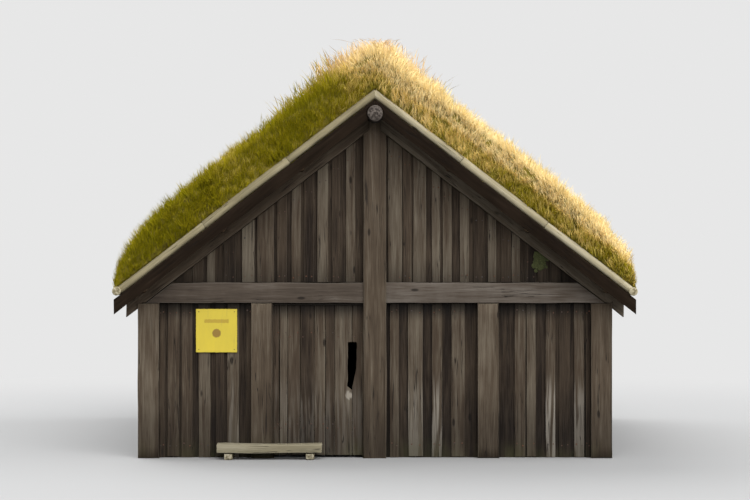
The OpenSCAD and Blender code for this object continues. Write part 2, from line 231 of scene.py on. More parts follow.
class Graph(Nodes):
    """Nodes of one material, with short calls for the steps that the finishes share."""

    def __init__(self, name: str) -> None:
        """Starts a material with one Principled shader.

        Args:
            name: Name of the material.
        """
        self.material = bpy.data.materials.new(name)
        self.material.use_nodes = True
        super().__init__(self.material.node_tree)
        self.shader = self.tree.nodes["Principled BSDF"]

    def place(self) -> Socket:
        """Returns the place on the object, in metres."""
        return self.node("TexCoord").outputs["Object"]

    def number(self, layer: str) -> Socket:
        """Returns a number that the mesh carries under the name of the layer."""
        return self.node("Attribute", attribute_name=layer).outputs["Fac"]

    def vector(self, layer: str) -> Socket:
        """Returns a vector that the mesh carries under the name of the layer."""
        return self.node("Attribute", attribute_name=layer).outputs["Vector"]

    def stretch(self, vector: Socket, scale: Sequence[float]) -> Socket:
        """Returns a vector scaled along each axis."""
        return self.node("Mapping", {"Vector": vector, "Scale": scale}).outputs["Vector"]

    def cloud(self, vector: Socket, scale: float = 1.0, detail: float = 2.0, rough: float = 0.5,
              twist: float = 0.0) -> Socket:
        """Returns noise from 0 to 1.

        Args:
            vector: Coordinates that it reads.
            scale: Bumps in a unit of those.
            detail: Octaves.
            rough: Strength of the finer octaves.
            twist: Distortion.

        Returns:
            The noise.
        """
        inputs = {"Vector": vector, "Scale": scale, "Detail": detail, "Roughness": rough,
                  "Distortion": twist}
        return self.node("TexNoise", inputs).outputs["Fac"]

    def span(self, value: Socket, low: float, high: float, start: float = 0.0, stop: float = 1.0) -> Socket:
        """Maps a number smoothly from low..high to start..stop.

        Args:
            value: Number to map.
            low: Value that gives start.
            high: Value that gives stop.
            start: Result at low and below.
            stop: Result at high and above.

        Returns:
            The mapped number.
        """
        inputs = {"Value": value, "From Min": low, "From Max": high, "To Min": start, "To Max": stop}
        return self.node("MapRange", inputs, interpolation_type="SMOOTHSTEP").outputs["Result"]

    def mix(self, factor: object, a: object, b: object, mode: str = "MIX") -> Socket:
        """Mixes two colours.

        Args:
            factor: Share of the second colour.
            a: First colour.
            b: Second colour.
            mode: Way in which the second is laid over the first.

        Returns:
            The mixed colour.
        """
        mixed = self.node("Mix", data_type="RGBA", blend_type=mode)
        for index, value in ((0, factor), (6, a), (7, b)):
            self.feed(mixed.inputs[index], value)
        return mixed.outputs[2]

    def ramp(self, value: Socket, stops: Sequence[tuple[float, Rgb]]) -> Socket:
        """Returns a colour from a ramp.

        Args:
            value: Place on the ramp.
            stops: Places and colours, from low to high.

        Returns:
            The colour.
        """
        made = self.node("ValToRGB", {"Fac": value})
        elements = made.color_ramp.elements
        while len(elements) < len(stops):
            elements.new(1.0)
        for element, (at, colour) in zip(elements, stops):
            element.position = at
            element.color = (*colour, 1.0)
        return made.outputs["Color"]

    def bump(self, height: Socket, distance: float, strength: float = 1.0) -> None:
        """Gives the shader a relief.

        Args:
            height: Height from 0 to 1.
            distance: Depth of the relief in metres.
            strength: Strength of the relief.
        """
        relief = self.node("Bump", {"Height": height, "Distance": distance, "Strength": strength})
        self.feed(self.shader.inputs["Normal"], relief.outputs["Normal"])

    def done(self, **inputs: object) -> bpy.types.Material:
        """Sets the shader's own inputs, by name with underscores for spaces.

        Args:
            **inputs: Values or sockets, such as Base_Color or Roughness.

        Returns:
            The finished material.
        """
        for name, value in inputs.items():
            self.feed(self.shader.inputs[name.replace("_", " ")], value)
        return self.material


@dataclass(frozen=True)
class Finish:
    """Finish of a surface.

    Attributes:
        name: Name of the material.
        slot: Material slot of the record; not used.
    """

    name: str
    slot: str

    def material(self) -> bpy.types.Material:
        """Builds the node material.

        Returns:
            The material.
        """
        raise NotImplementedError


@dataclass(frozen=True)
class WoodFinish(Finish):
    """Weathered wood whose streaks, checks and knots follow the grain of each piece.

    Attributes:
        dark: Colour of the darkest streaks.
        mid: Main colour.
        light: Colour of the silvered streaks and worn arrises.
        pale: Colour of bleached feet of boards.
        growth: Colour of the green growth near the ground.
        crack: Colour of the drying cracks.
        green: Share of green growth near the ground.
        damp: Share of its lightness that the wood loses towards its foot, partly from damp and partly as
            painted shade of grass round the foot.
        damp_up: Heights between which that darkening fades.
        shelter: Share of its lightness that it loses as painted shade round a tie beam, deepest right under
            the beam.
        relief: Depth of the grain's relief in metres.
        sheen: Level of its gloss.
    """

    dark: Rgb
    mid: Rgb
    light: Rgb
    pale: Rgb = (0.42, 0.38, 0.32)
    growth: Rgb = (0.045, 0.05, 0.016)
    crack: Rgb = (0.012, 0.009, 0.007)
    green: float = 0.35
    damp: float = 0.42
    damp_up: tuple[float, float] = (0.15, 1.05)
    shelter: float = 0.0
    relief: float = 0.004
    sheen: float = 0.2

    def material(self) -> bpy.types.Material:
        """Builds the node material.

        Returns:
            The material.
        """
        g = Graph(self.name)
        tone, edge, end, bleached = (g.number(layer.value) for layer in
                                     (Layer.TONE, Layer.EDGE, Layer.END, Layer.BLEACH))
        grain, place = g.vector(Layer.GRAIN.value), g.place()
        height = g.axes(place)["Z"]
        fibre = g.cloud(g.stretch(grain, (110.0, 3.0, 110.0)), detail=5.0, rough=0.65)
        band = g.cloud(g.stretch(grain, (17.0, 1.0, 17.0)), detail=3.0, twist=0.5)
        patch = g.cloud(g.stretch(place, (2.1, 2.1, 1.1)), detail=4.0, rough=0.6)
        value = g.total((fibre, 0.5), (band, 0.55), (patch, 0.4), (tone, 0.6))
        low, middle, high = 0.66, 1.0, 1.3
        ranged = g.node("MapRange", {"Value": value, "From Min": low, "From Max": high}).outputs[0]
        colour = g.ramp(ranged, [(0.0, self.dark), ((middle - low) / (high - low), self.mid),
                                 (1.0, self.light)])
        check = self.checks(g, grain)
        colour = g.mix(g.times(edge, 0.3), colour, self.light)
        colour = g.mix(g.times(self.knots(g, grain), 0.8), colour, tuple(0.5 * c for c in self.dark))
        bleach = g.times(bleached, g.span(height, 1.05, 0.6))
        streak = g.span(g.cloud(g.stretch(grain, (30.0, 1.4, 30.0)), detail=3.0), 0.42, 0.56)
        streak = g.math("MAXIMUM", streak, g.minus(bleach, 1.0), clamp=True)
        colour = g.mix(g.times(g.math("MINIMUM", bleach, 0.72), streak), colour, self.pale)
        # Multiplies in the darkening by height: damp and painted shade at the foot, painted shade round the
        # tie beams.
        colour = g.mix(1.0, colour, self.damp_and_shade(g, height), "MULTIPLY")
        wet = g.times(g.span(height, 0.3, 0.0), g.span(patch, 0.35, 0.65))
        colour = g.mix(g.times(wet, self.green), colour, self.growth)
        colour = g.mix(end, colour, self.end_grain(g, grain))
        colour = g.mix(g.times(check, 0.85), colour, self.crack)
        g.bump(g.minus(g.total((fibre, 0.45), (band, 0.5)), check), self.relief, 0.8)
        return g.done(Base_Color=colour, Roughness=g.span(fibre, 0.3, 0.7, 0.9, 0.74),
                      Specular_IOR_Level=self.sheen)

    def damp_and_shade(self, g: Graph, height: Socket) -> Socket:
        """Returns how light the wood is at a height, next to wood in the open: darker at its foot, partly
        from damp and partly as painted shade, and darker round the tie beams as painted shade.

        Args:
            g: Nodes of the material.
            height: Height over the ground.

        Returns:
            The share of lightness that is left.
        """
        low, high = (corner.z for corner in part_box("front_left_tie_beam"))
        # Darker towards the foot: partly damp wood, partly painted shade of grass.
        foot = g.span(height, *self.damp_up, 1.0 - self.damp, 1.0)
        # Painted shade of the tie beams: a dark band from 0.24 m under a beam's underside to 0.4 m over its
        # top, deepest just under it.
        under = g.span(height, low - 0.24, low - 0.04)
        over = g.span(height, low, high + 0.4, self.shelter, 0.0)
        return g.times(foot, g.minus(1.0, g.times(under, over)))

    @staticmethod
    def checks(g: Graph, grain: Socket) -> Socket:
        """Adds thin drying cracks along the grain.

        Args:
            g: Nodes of the material.
            grain: Place along and across the grain.

        Returns:
            Depth of the cracks from 0 to 1.
        """
        line = g.cloud(g.stretch(grain, (24.0, 0.75, 24.0)), detail=2.0, twist=0.3)
        near = g.math("ABSOLUTE", g.minus(line, 0.5))
        where = g.cloud(g.stretch(grain, (5.0, 1.3, 5.0)), detail=1.0)
        return g.times(g.span(near, 0.016, 0.004), g.span(where, 0.5, 0.6))

    @staticmethod
    def knots(g: Graph, grain: Socket) -> Socket:
        """Returns scattered oval knots."""
        spots = g.node("TexVoronoi", {"Vector": g.stretch(grain, (4.6, 1.7, 4.6)), "Scale": 1.0})
        return g.span(spots.outputs["Distance"], 0.11, 0.05)

    def end_grain(self, g: Graph, grain: Socket) -> Socket:
        """Adds sawn ends, with rings round the heart.

        Args:
            g: Nodes of the material.
            grain: Place along and across the grain.

        Returns:
            Their colour.
        """
        across = g.length(g.stretch(grain, (1.0, 0.0, 1.0)))
        wobble = g.times(g.cloud(grain, 14.0), 0.02)
        rings = g.math("SINE", g.times(g.plus(across, wobble), 700.0))
        split = g.cloud(grain, 40.0, detail=3.0)
        value = g.plus(g.times(rings, 0.18), g.span(split, 0.3, 0.7))
        return g.ramp(value, [(0.0, self.dark), (0.5, self.mid), (1.0, self.light)])


@dataclass(frozen=True)
class IronFinish(Finish):
    """Forged iron, dark with rust.

    Attributes:
        iron: Colour of the bare metal.
        rust: Colour of the rust.
    """

    iron: Rgb = (0.045, 0.04, 0.038)
    rust: Rgb = (0.13, 0.05, 0.022)

    def material(self) -> bpy.types.Material:
        """Builds the node material.

        Returns:
            The material.
        """
        g = Graph(self.name)
        place = g.place()
        pitting = g.cloud(place, 140.0, detail=4.0)
        spread = g.cloud(place, 22.0, detail=4.0, rough=0.65)
        colour = g.mix(g.span(spread, 0.4, 0.62), self.iron, self.rust)
        g.bump(pitting, 0.0012, 0.7)
        return g.done(Base_Color=colour, Roughness=g.span(spread, 0.35, 0.65, 0.5, 0.85), Metallic=0.35)


@dataclass(frozen=True)
class PaintFinish(Finish):
    """Yellow paint of the sign, chalked and chipped at the edges, with a plain bar and a round spot.

    Attributes:
        middle: Middle of the sign's face.
        paint: Colour of the paint.
        bar_colour: Colour of the bar.
        spot_colour: Colour of the spot.
        grime: Colour of the dirt that runs down it.
        bared: Colour of the board where the paint is chipped off.
        bar_size: Half width and half height of the bar.
        bar_up: Height of the bar over the middle.
        spot_size: Radius of the spot.
        spot_down: Depth of the spot's middle under the middle.
    """

    middle: tuple[float, float, float]
    paint: Rgb = (0.6, 0.465, 0.033)
    bar_colour: Rgb = (0.34, 0.2, 0.01)
    spot_colour: Rgb = (0.17, 0.065, 0.01)
    grime: Rgb = (0.3, 0.22, 0.06)
    bared: Rgb = (0.12, 0.09, 0.06)
    bar_size: tuple[float, float] = (0.15, 0.024)
    bar_up: float = 0.115
    spot_size: float = 0.058
    spot_down: float = 0.03

    def material(self) -> bpy.types.Material:
        """Builds the node material.

        Returns:
            The material.
        """
        g = Graph(self.name)
        offset = tuple(-c for c in self.middle)
        face = g.node("Mapping", {"Vector": g.place(), "Location": offset}).outputs["Vector"]
        split = g.axes(face)
        ragged = g.times(g.minus(g.cloud(face, 60.0, detail=3.0), 0.5), 0.02)
        across = g.plus(g.math("ABSOLUTE", split["X"]), ragged)
        from_bar = g.math("ABSOLUTE", g.minus(g.plus(split["Z"], ragged), self.bar_up))
        bar = g.times(g.span(across, self.bar_size[0], self.bar_size[0] - 0.006),
                      g.span(from_bar, self.bar_size[1], self.bar_size[1] - 0.005))
        from_spot = g.node("VectorMath", {0: face, 1: (0.0, 0.0, -self.spot_down)}, operation="DISTANCE")
        reach = g.plus(from_spot.outputs["Value"], ragged)
        spot = g.span(reach, self.spot_size, self.spot_size - 0.012)
        chalk = g.cloud(g.stretch(face, (5.0, 5.0, 2.2)), detail=5.0, rough=0.6)
        colour = g.mix(g.span(chalk, 0.3, 0.75), self.paint, tuple(min(1.0, 1.12 * c) for c in self.paint))
        colour = g.mix(g.times(bar, 0.6), colour, self.bar_colour)
        colour = g.mix(g.times(spot, 0.8), colour, self.spot_colour)
        runs = g.cloud(g.stretch(face, (26.0, 26.0, 2.6)), detail=4.0)
        colour = g.mix(g.span(runs, 0.62, 0.8, 0.0, 0.35), colour, self.grime)
        chip = g.times(g.number(Layer.EDGE.value), g.span(g.cloud(face, 70.0, detail=3.0), 0.45, 0.6))
        colour = g.mix(chip, colour, self.bared)
        g.bump(g.plus(chalk, g.cloud(face, 320.0)), 0.0008, 0.5)
        return g.done(Base_Color=colour, Roughness=g.span(chalk, 0.3, 0.7, 0.42, 0.6))


@dataclass(frozen=True)
class GrassFinish(Finish):
    """Standing grass: green or olive stems that turn to straw where the sun and the wind dry them, paler on
    the right slope and the crest partly as painted light.

    Attributes:
        root: Darker colour low in the sward, painted shade among the blades.
        leaf: Colour of the green leaves.
        olive: Colour of the leaves that turn.
        straw: Colour of the dry blades.
        blond: Colour of the driest tips.
    """

    root: Rgb = (0.22, 0.18, 0.026)
    leaf: Rgb = (0.255, 0.223, 0.006)
    olive: Rgb = (0.39, 0.317, 0.012)
    straw: Rgb = (0.88, 0.655, 0.2)
    blond: Rgb = (1.0, 0.815, 0.42)

    def material(self) -> bpy.types.Material:
        """Builds the node material.

        Returns:
            The material.
        """
        g = Graph(self.name)
        tone, tip, gold = (g.number(layer) for layer in ("tone", "tip", "gold"))
        place = g.place()
        wide, drawn = (g.cloud(g.stretch(place, scale), detail=2.0) for scale in
                       ((0.7, 0.7, 0.7), (1.2, 5.0, 1.2)))
        swings = ((wide, 0.9), (drawn, 0.7), (tone, 0.38), (tip, 0.25))
        value = g.total((gold, 1.0), (self.dryness_and_light(g, place), 1.0),
                        *((g.minus(swing, 0.5), weight) for swing, weight in swings))
        colour = g.ramp(value, [(0.0, self.leaf), (0.3, self.olive), (0.68, self.straw), (1.0, self.blond)])
        # Painted shade: the blades darken towards their roots, where the sward shades them.
        colour = g.mix(g.span(tip, 0.35, 0.0, 0.0, 0.6), colour, self.root)
        return g.done(Base_Color=colour, Roughness=0.85, Specular_IOR_Level=0.03)

    @staticmethod
    def dryness_and_light(g: Graph, place: Socket) -> Socket:
        """Tells how dry the grass is: most on the right slope, its verges and the crest, where its paler
        straw is partly painted light from the right and from behind.

        Args:
            g: Nodes of the material.
            place: Place on the roof.

        Returns:
            How dry the grass is, with its painted light, added up from 0.
        """
        split = g.axes(place)
        from_ridge = g.math("ABSOLUTE", split["X"])
        fall = g.times(from_ridge, math.tan(ROOF.pitch))
        rise = g.minus(g.plus(split["Z"], fall), ROOF.peak)
        outer = g.span(g.times(rise, math.cos(ROOF.pitch)), 0.24, 0.4)
        verge = g.span(g.math("ABSOLUTE", split["Y"]), ROOF.verge - 0.6, ROOF.verge)
        tips, slope, rim = (g.span(split["X"], -0.45, 0.45, left, right) for left, right in
                            ((-0.12, 0.5), (0.12, 0.33), (0.02, 0.38)))
        # Partly painted light: paler straw on the right slope, on the verges' tops and along the crest.
        dry = g.times(g.plus(g.times(verge, tips), slope), outer)
        dry = g.plus(dry, g.times(verge, rim))
        dry = g.plus(dry, g.span(from_ridge, 1.0, 0.1, 0.0, 0.3))
        crest = g.span(split["Z"], ROOF.peak + 0.2, ROOF.peak + 0.4, 0.0, 0.22)
        return g.plus(dry, g.times(verge, crest))


@dataclass(frozen=True)
class SodFinish(Finish):
    """Matted turf under the standing grass: moss, roots and dark earth.

    Attributes:
        earth: Colour of the earth.
        moss: Colour of the moss.
        thatch: Colour of the dead grass.
    """

    earth: Rgb = (0.13, 0.1, 0.022)
    moss: Rgb = (0.24, 0.2, 0.02)
    thatch: Rgb = (0.42, 0.33, 0.07)

    def material(self) -> bpy.types.Material:
        """Builds the node material.

        Returns:
            The material.
        """
        g = Graph(self.name)
        place = g.place()
        coarse = g.cloud(place, 6.0, detail=6.0, rough=0.7)
        strands = g.cloud(g.stretch(place, (60.0, 60.0, 16.0)), detail=4.0, twist=0.8)
        colour = g.ramp(coarse, [(0.34, self.earth), (0.5, self.moss), (0.68, self.thatch)])
        colour = g.mix(g.span(strands, 0.52, 0.7, 0.0, 0.6), colour, self.thatch)
        g.bump(g.plus(coarse, strands), 0.03, 0.9)
        return g.done(Base_Color=colour, Roughness=0.95, Specular_IOR_Level=0.1)


@dataclass(frozen=True)
class MossFinish(Finish):
    """Soft green moss cushion.

    Attributes:
        deep: Colour in its hollows, a darker copy of the tops' green as painted shade.
        fresh: Colour of its tops.
    """

    deep: Rgb = (0.032, 0.038, 0.012)
    fresh: Rgb = (0.1, 0.11, 0.034)

    def material(self) -> bpy.types.Material:
        """Builds the node material.

        Returns:
            The material.
        """
        g = Graph(self.name)
        tufts = g.cloud(g.place(), 90.0, detail=4.0, rough=0.7)
        g.bump(tufts, 0.008, 1.0)
        # Painted shade: the hollows of the moss take a darker copy of the tops' green.
        return g.done(Base_Color=g.ramp(tufts, [(0.35, self.deep), (0.65, self.fresh)]), Roughness=0.95)


HEWN = WoodFinish("hewn_timber_finish", "hewn_timber", (0.021, 0.014, 0.009), (0.08, 0.058, 0.0385),
                  (0.175, 0.144, 0.105))
SILVERED = WoodFinish("silvered_timber_finish", "hewn_timber", (0.021, 0.015, 0.011),
                      (0.08, 0.0615, 0.0465), (0.175, 0.151, 0.127))
BOARDS = WoodFinish("weathered_board_finish", "weathered_boards", (0.0115, 0.0068, 0.004),
                    (0.062, 0.0435, 0.0285), (0.16, 0.133, 0.097), shelter=0.75)
# Near-black bargeboards: partly their own dark wood, partly painted shade under the verge poles.
NEAR_BLACK = WoodFinish("tarred_board_finish", "weathered_boards", (0.008, 0.005, 0.003),
                    (0.021, 0.0135, 0.0085), (0.056, 0.039, 0.026), green=0.0, damp=0.0, sheen=0.05)
POLES = WoodFinish("pale_pole_finish", "pale_timber", (0.15, 0.125, 0.07), (0.34, 0.29, 0.175),
                   (0.58, 0.52, 0.37), green=0.1, damp=0.0)
RIDGE = WoodFinish("ridge_pole_finish", "pale_timber", (0.022, 0.017, 0.014), (0.078, 0.063, 0.053),
                   (0.17, 0.145, 0.125), green=0.0, damp=0.0)
STEP = WoodFinish("doorstep_finish", "pale_timber", (0.1, 0.085, 0.052), (0.24, 0.208, 0.135),
                  (0.4, 0.36, 0.265), green=0.3, damp=0.0)
INNER = WoodFinish("sheltered_wood_finish", "pale_timber", (0.05, 0.03, 0.016), (0.14, 0.092, 0.052),
                   (0.24, 0.175, 0.11), green=0.0, damp=0.0)
IRON = IronFinish("forged_iron", "hinge_iron")
SOD = SodFinish("matted_turf", "turf")
MOSS = MossFinish("moss_cushion", "turf")
GRASS = GrassFinish("standing_grass", "turf")
STALKS = GrassFinish("seed_stalks", "turf", straw=(0.78, 0.53, 0.24), blond=(0.95, 0.72, 0.42))


@functools.cache
def dressed(finish: Finish) -> bpy.types.Material:
    """Returns the material of a finish, made once."""
    return finish.material()


def lying(along: Vector, out: Vector, origin: Vector = Vector((0.0, 0.0, 0.0))) -> Matrix:
    """Turns a piece from its own axes into place.

    Args:
        along: Direction of its length, its own Y.
        out: Direction of its outer face, its own Z.
        origin: Place of its own origin.

    Returns:
        The matrix that places it.
    """
    across = along.cross(out).normalized()
    turn = Matrix((across, along.normalized(), out.normalized())).transposed()
    return Matrix.Translation(origin) @ turn.to_4x4()


def with_layers(shape: Shape) -> Shape:
    """Gives a shape the layers that the wood finishes read.

    Args:
        shape: Shape that gets them.

    Returns:
        The same shape.
    """
    shape.verts.layers.float_vector.new(Layer.GRAIN.value)
    shape.verts.layers.float.new(Layer.BLEACH.value)
    for layer in (Layer.TONE, Layer.EDGE, Layer.END):
        shape.faces.layers.float.new(layer.value)
    return shape


def as_mesh(shape: Shape, name: str, smooth: Optional[float] = None) -> bpy.types.Mesh:
    """Turns a shape into a mesh and frees it.

    Args:
        shape: Shape to turn.
        name: Name of the mesh.
        smooth: Angle in degrees up to which faces are shaded as one surface, or None for flat faces.

    Returns:
        The mesh.
    """
    if smooth:
        bmesh.ops.triangulate(shape, faces=[f for f in shape.faces if len(f.verts) > 4])
    mesh = bpy.data.meshes.new(name)
    shape.to_mesh(mesh)
    shape.free()
    if smooth:
        mesh.polygons.foreach_set("use_smooth", [True] * len(mesh.polygons))
        mesh.set_sharp_from_angle(angle=math.radians(smooth))
    return mesh


def in_scene(name: str, data: bpy.types.ID) -> bpy.types.Object:
    """Puts a new object into the scene.

    Args:
        name: Name of the object.
        data: Mesh, lamp or camera that it shows.

    Returns:
        The object.
    """
    made = bpy.data.objects.new(name, data)
    bpy.context.scene.collection.objects.link(made)
    return made


def cut_through(shape: Shape, point: Sequence[float], normal: Vector, **settings: bool) -> None:
    """Cuts the faces of a shape along a plane.

    Args:
        shape: Shape to cut.
        point: Point on the plane.
        normal: Direction square to the plane.
        **settings: Further settings of the cut.
    """
    geom = shape.verts[:] + shape.edges[:] + shape.faces[:]
    bmesh.ops.bisect_plane(shape, geom=geom, dist=CUT_REACH, plane_co=point, plane_no=normal, **settings)


def ease(shape: Shape, width: float, segments: int = 1, sharper: float = 30.0) -> None:
    """Takes the arrises off a shape and marks the new faces as worn.

    Args:
        shape: Shape with its layers.
        width: Width of the chamfer.
        segments: Steps across the chamfer.
        sharper: Least angle in degrees between the faces of an edge that is eased.
    """
    edges = [e for e in shape.edges if e.is_manifold and e.calc_face_angle(0.0) > math.radians(sharper)]
    eased = bmesh.ops.bevel(shape, geom=edges, offset=width, offset_type="OFFSET", segments=segments,
                            profile=0.5, affect="EDGES", clamp_overlap=True, material=-1)
    worn = shape.faces.layers.float[Layer.EDGE.value]
    for face in eased["faces"]:
        face[worn] = 1.0


def section(shape: Shape, axis: Vector, step: float) -> None:
    """Cuts a shape's faces at even steps along an axis, so that they can be bent.

    Args:
        shape: Shape to cut.
        axis: Direction of the steps.
        step: Longest step.
    """
    reach = [v.co.dot(axis) for v in shape.verts]
    low, high = min(reach), max(reach)
    count = math.ceil((high - low) / step)
    for i in range(1, count):
        cut_through(shape, axis * (low + (high - low) * i / count), axis)


def trim(shape: Shape, point: Vector, outward: Vector) -> None:
    """Cuts away what lies outside a plane and closes the cut.

    Args:
        shape: Shape to cut.
        point: Point on the plane.
        outward: Direction in which the plane cuts away.
    """
    cut_through(shape, point, outward, clear_outer=True)
    open_edges = [e for e in shape.edges if e.is_boundary]
    if open_edges:
        bmesh.ops.holes_fill(shape, edges=open_edges, sides=0)


def solids(node: str) -> list[Shape]:
    """Returns the separate solids of a CAD node, as clean shapes with their layers.

    Args:
        node: Name of the node.

    Returns:
        One shape a solid, from low X to high X and then from low Y to high Y.
    """
    whole = bmesh.new()
    whole.from_mesh(frame["nodes"][node].data)
    bmesh.ops.remove_doubles(whole, verts=whole.verts, dist=WELD_REACH)
    bmesh.ops.dissolve_limit(whole, angle_limit=LEVEL_ANGLE, verts=whole.verts, edges=whole.edges)
    whole.verts.index_update()
    island = [-1] * len(whole.verts)
    count = 0
    for start in whole.verts:
        if island[start.index] >= 0:
            continue
        island[start.index] = count
        reached = [start]
        while reached:
            for edge in reached.pop().link_edges:
                for vert in edge.verts:
                    if island[vert.index] < 0:
                        island[vert.index] = count
                        reached.append(vert)
        count += 1
    found = []
    for number in range(count):
        part = whole.copy()
        others = [v for v, n in zip(part.verts, island) if n != number]
        bmesh.ops.delete(part, geom=others, context="VERTS")
        found.append(with_layers(part))
    whole.free()
    return sorted(found, key=lambda part: tuple(round(c, 3) for c in box_of(part)[0]))


def box_of(shape: Shape) -> tuple[Vector, Vector]:
    """Returns the lowest and highest corners of a shape."""
    places = list(zip(*(v.co for v in shape.verts)))
    return Vector([min(axis) for axis in places]), Vector([max(axis) for axis in places])


def node_boxes(node: str) -> list[tuple[Vector, Vector]]:
    """Measures the solids of a CAD node.

    Args:
        node: Name of the node.

    Returns:
        The lowest and highest corners of each, ordered by X and then by Y.
    """
    boxes = []
    for part in solids(node):
        boxes.append(box_of(part))
        part.free()
    return boxes


class Stack:
    """Worked pieces that end as one mesh with one finish."""

    def __init__(self, name: str) -> None:
        """Starts an empty stack.

        Args:
            name: Name of the piece that it becomes.
        """
        self.name = name
        self.rng = random.Random(name)
        self.gathered = bmesh.new()

    def add(self, shape: Shape, place: Matrix, tone: float = 0.5, bleach: float = 0.0,
            cut: Optional[tuple[Vector, Vector]] = None, own_grain: bool = False) -> None:
        """Marks the grain of a piece, turns it into place, levels its foot with the ground and keeps it.

        Args:
            shape: Piece in its own axes. It is freed.
            place: Matrix that places it.
            tone: Lightness from 0 to 1.
            bleach: Share of bleached wood near its foot.
            cut: Point and outward direction of a plane that trims it in place.
            own_grain: True if the grain has to stay centred on the piece, as on a log.
        """
        grain = shape.verts.layers.float_vector[Layer.GRAIN.value]
        shift = Vector([self.rng.uniform(-9.0, 9.0) for _ in range(3)])
        if own_grain:
            shift = Vector((0.0, shift.y, 0.0))
        pale = shape.verts.layers.float[Layer.BLEACH.value]
        for vert in shape.verts:
            vert[grain] = vert.co + shift
            vert[pale] = max(bleach, vert[pale])
        layers = shape.faces.layers.float
        shape.normal_update()
        for face in shape.faces:
            face[layers[Layer.TONE.value]] = tone
            face[layers[Layer.END.value]] = float(abs(face.normal.y) > 0.8)
        shape.transform(place)
        for vert in shape.verts:
            vert.co.z = max(0.0, vert.co.z)
        if cut:
            trim(shape, *cut)
        part = as_mesh(shape, "part")
        self.gathered.from_mesh(part)
        bpy.data.meshes.remove(part)

    def finish(self, finish: Finish, body: str, replaced: Iterable[str] = (), smooth: float = 35.0) -> None:
        """Makes the stack a piece that rides on a body.

        Args:
            finish: Finish of its surface.
            body: CAD body that it rides on.
            replaced: CAD nodes that it stands for.
            smooth: Angle in degrees up to which faces are shaded as one surface.
        """
        show(as_mesh(self.gathered, self.name, smooth), finish, body, replaced)


def show(mesh: bpy.types.Mesh, finish: Finish, body: str = HOUSE, replaced: Iterable[str] = ()) -> None:
    """Links a mesh as a piece of the house, under its own name.

    Args:
        mesh: Finished mesh, in place.
        finish: Finish of its surface.
        body: CAD body that it rides on.
        replaced: CAD nodes that it stands for.
    """
    piece = in_scene(mesh.name, mesh)
    mesh.materials.clear()
    mesh.materials.append(dressed(finish))
    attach(piece, body)
    if replaced:
        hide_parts(*replaced)
    log.info("%s: %d triangles on %s", mesh.name, sum(len(p.vertices) - 2 for p in mesh.polygons), body)


@dataclass(frozen=True)
class RoofLines:
    """Lines of the roof, read from the frame.

    Attributes:
        pitch: Slope in radians.
        peak: Height of the roof boards' top over the ridge line.
        under_peak: Height of the rafters' underside over the ridge line.
        reach: Distance of the eaves from the ridge line.
        verge: Distance of the roof boards' ends from the middle of the house.
    """

    pitch: float
    peak: float
    under_peak: float
    reach: float
    verge: float

    @classmethod
    def from_frame(cls, pitch_degrees: float = 37.5) -> "RoofLines":
        """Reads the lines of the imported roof.

        Args:
            pitch_degrees: Pitch that it was drawn at.

        Returns:
            Its lines.
        """
        pitch = math.radians(pitch_degrees)
        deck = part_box("right_roof_boards")
        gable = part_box("front_gable_boards")
        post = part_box("front_centre_post")
        under = gable[1].z + math.tan(pitch) * post[1].x
        return cls(pitch, deck[1].z, under, deck[1].x, deck[1].y)

    def height(self, x: float, n: float) -> float:
        """Returns the height at a distance x from the ridge line of the plane n over the roof boards."""
        return self.peak - math.tan(self.pitch) * abs(x) + n / math.cos(self.pitch)

    def over(self, point: Vector) -> float:
        """Returns how far a point lies over the roof boards, square to the slope."""
        return (point.z - self.height(point.x, 0.0)) * math.cos(self.pitch)

    def down(self, side: Side) -> Vector:
        """Returns the direction down a slope."""
        return Vector((side.value * math.cos(self.pitch), 0.0, -math.sin(self.pitch)))

    def out(self, side: Side) -> Vector:
        """Returns the direction out of a slope."""
        return Vector((side.value * math.sin(self.pitch), 0.0, math.cos(self.pitch)))


ROOF = RoofLines.from_frame()


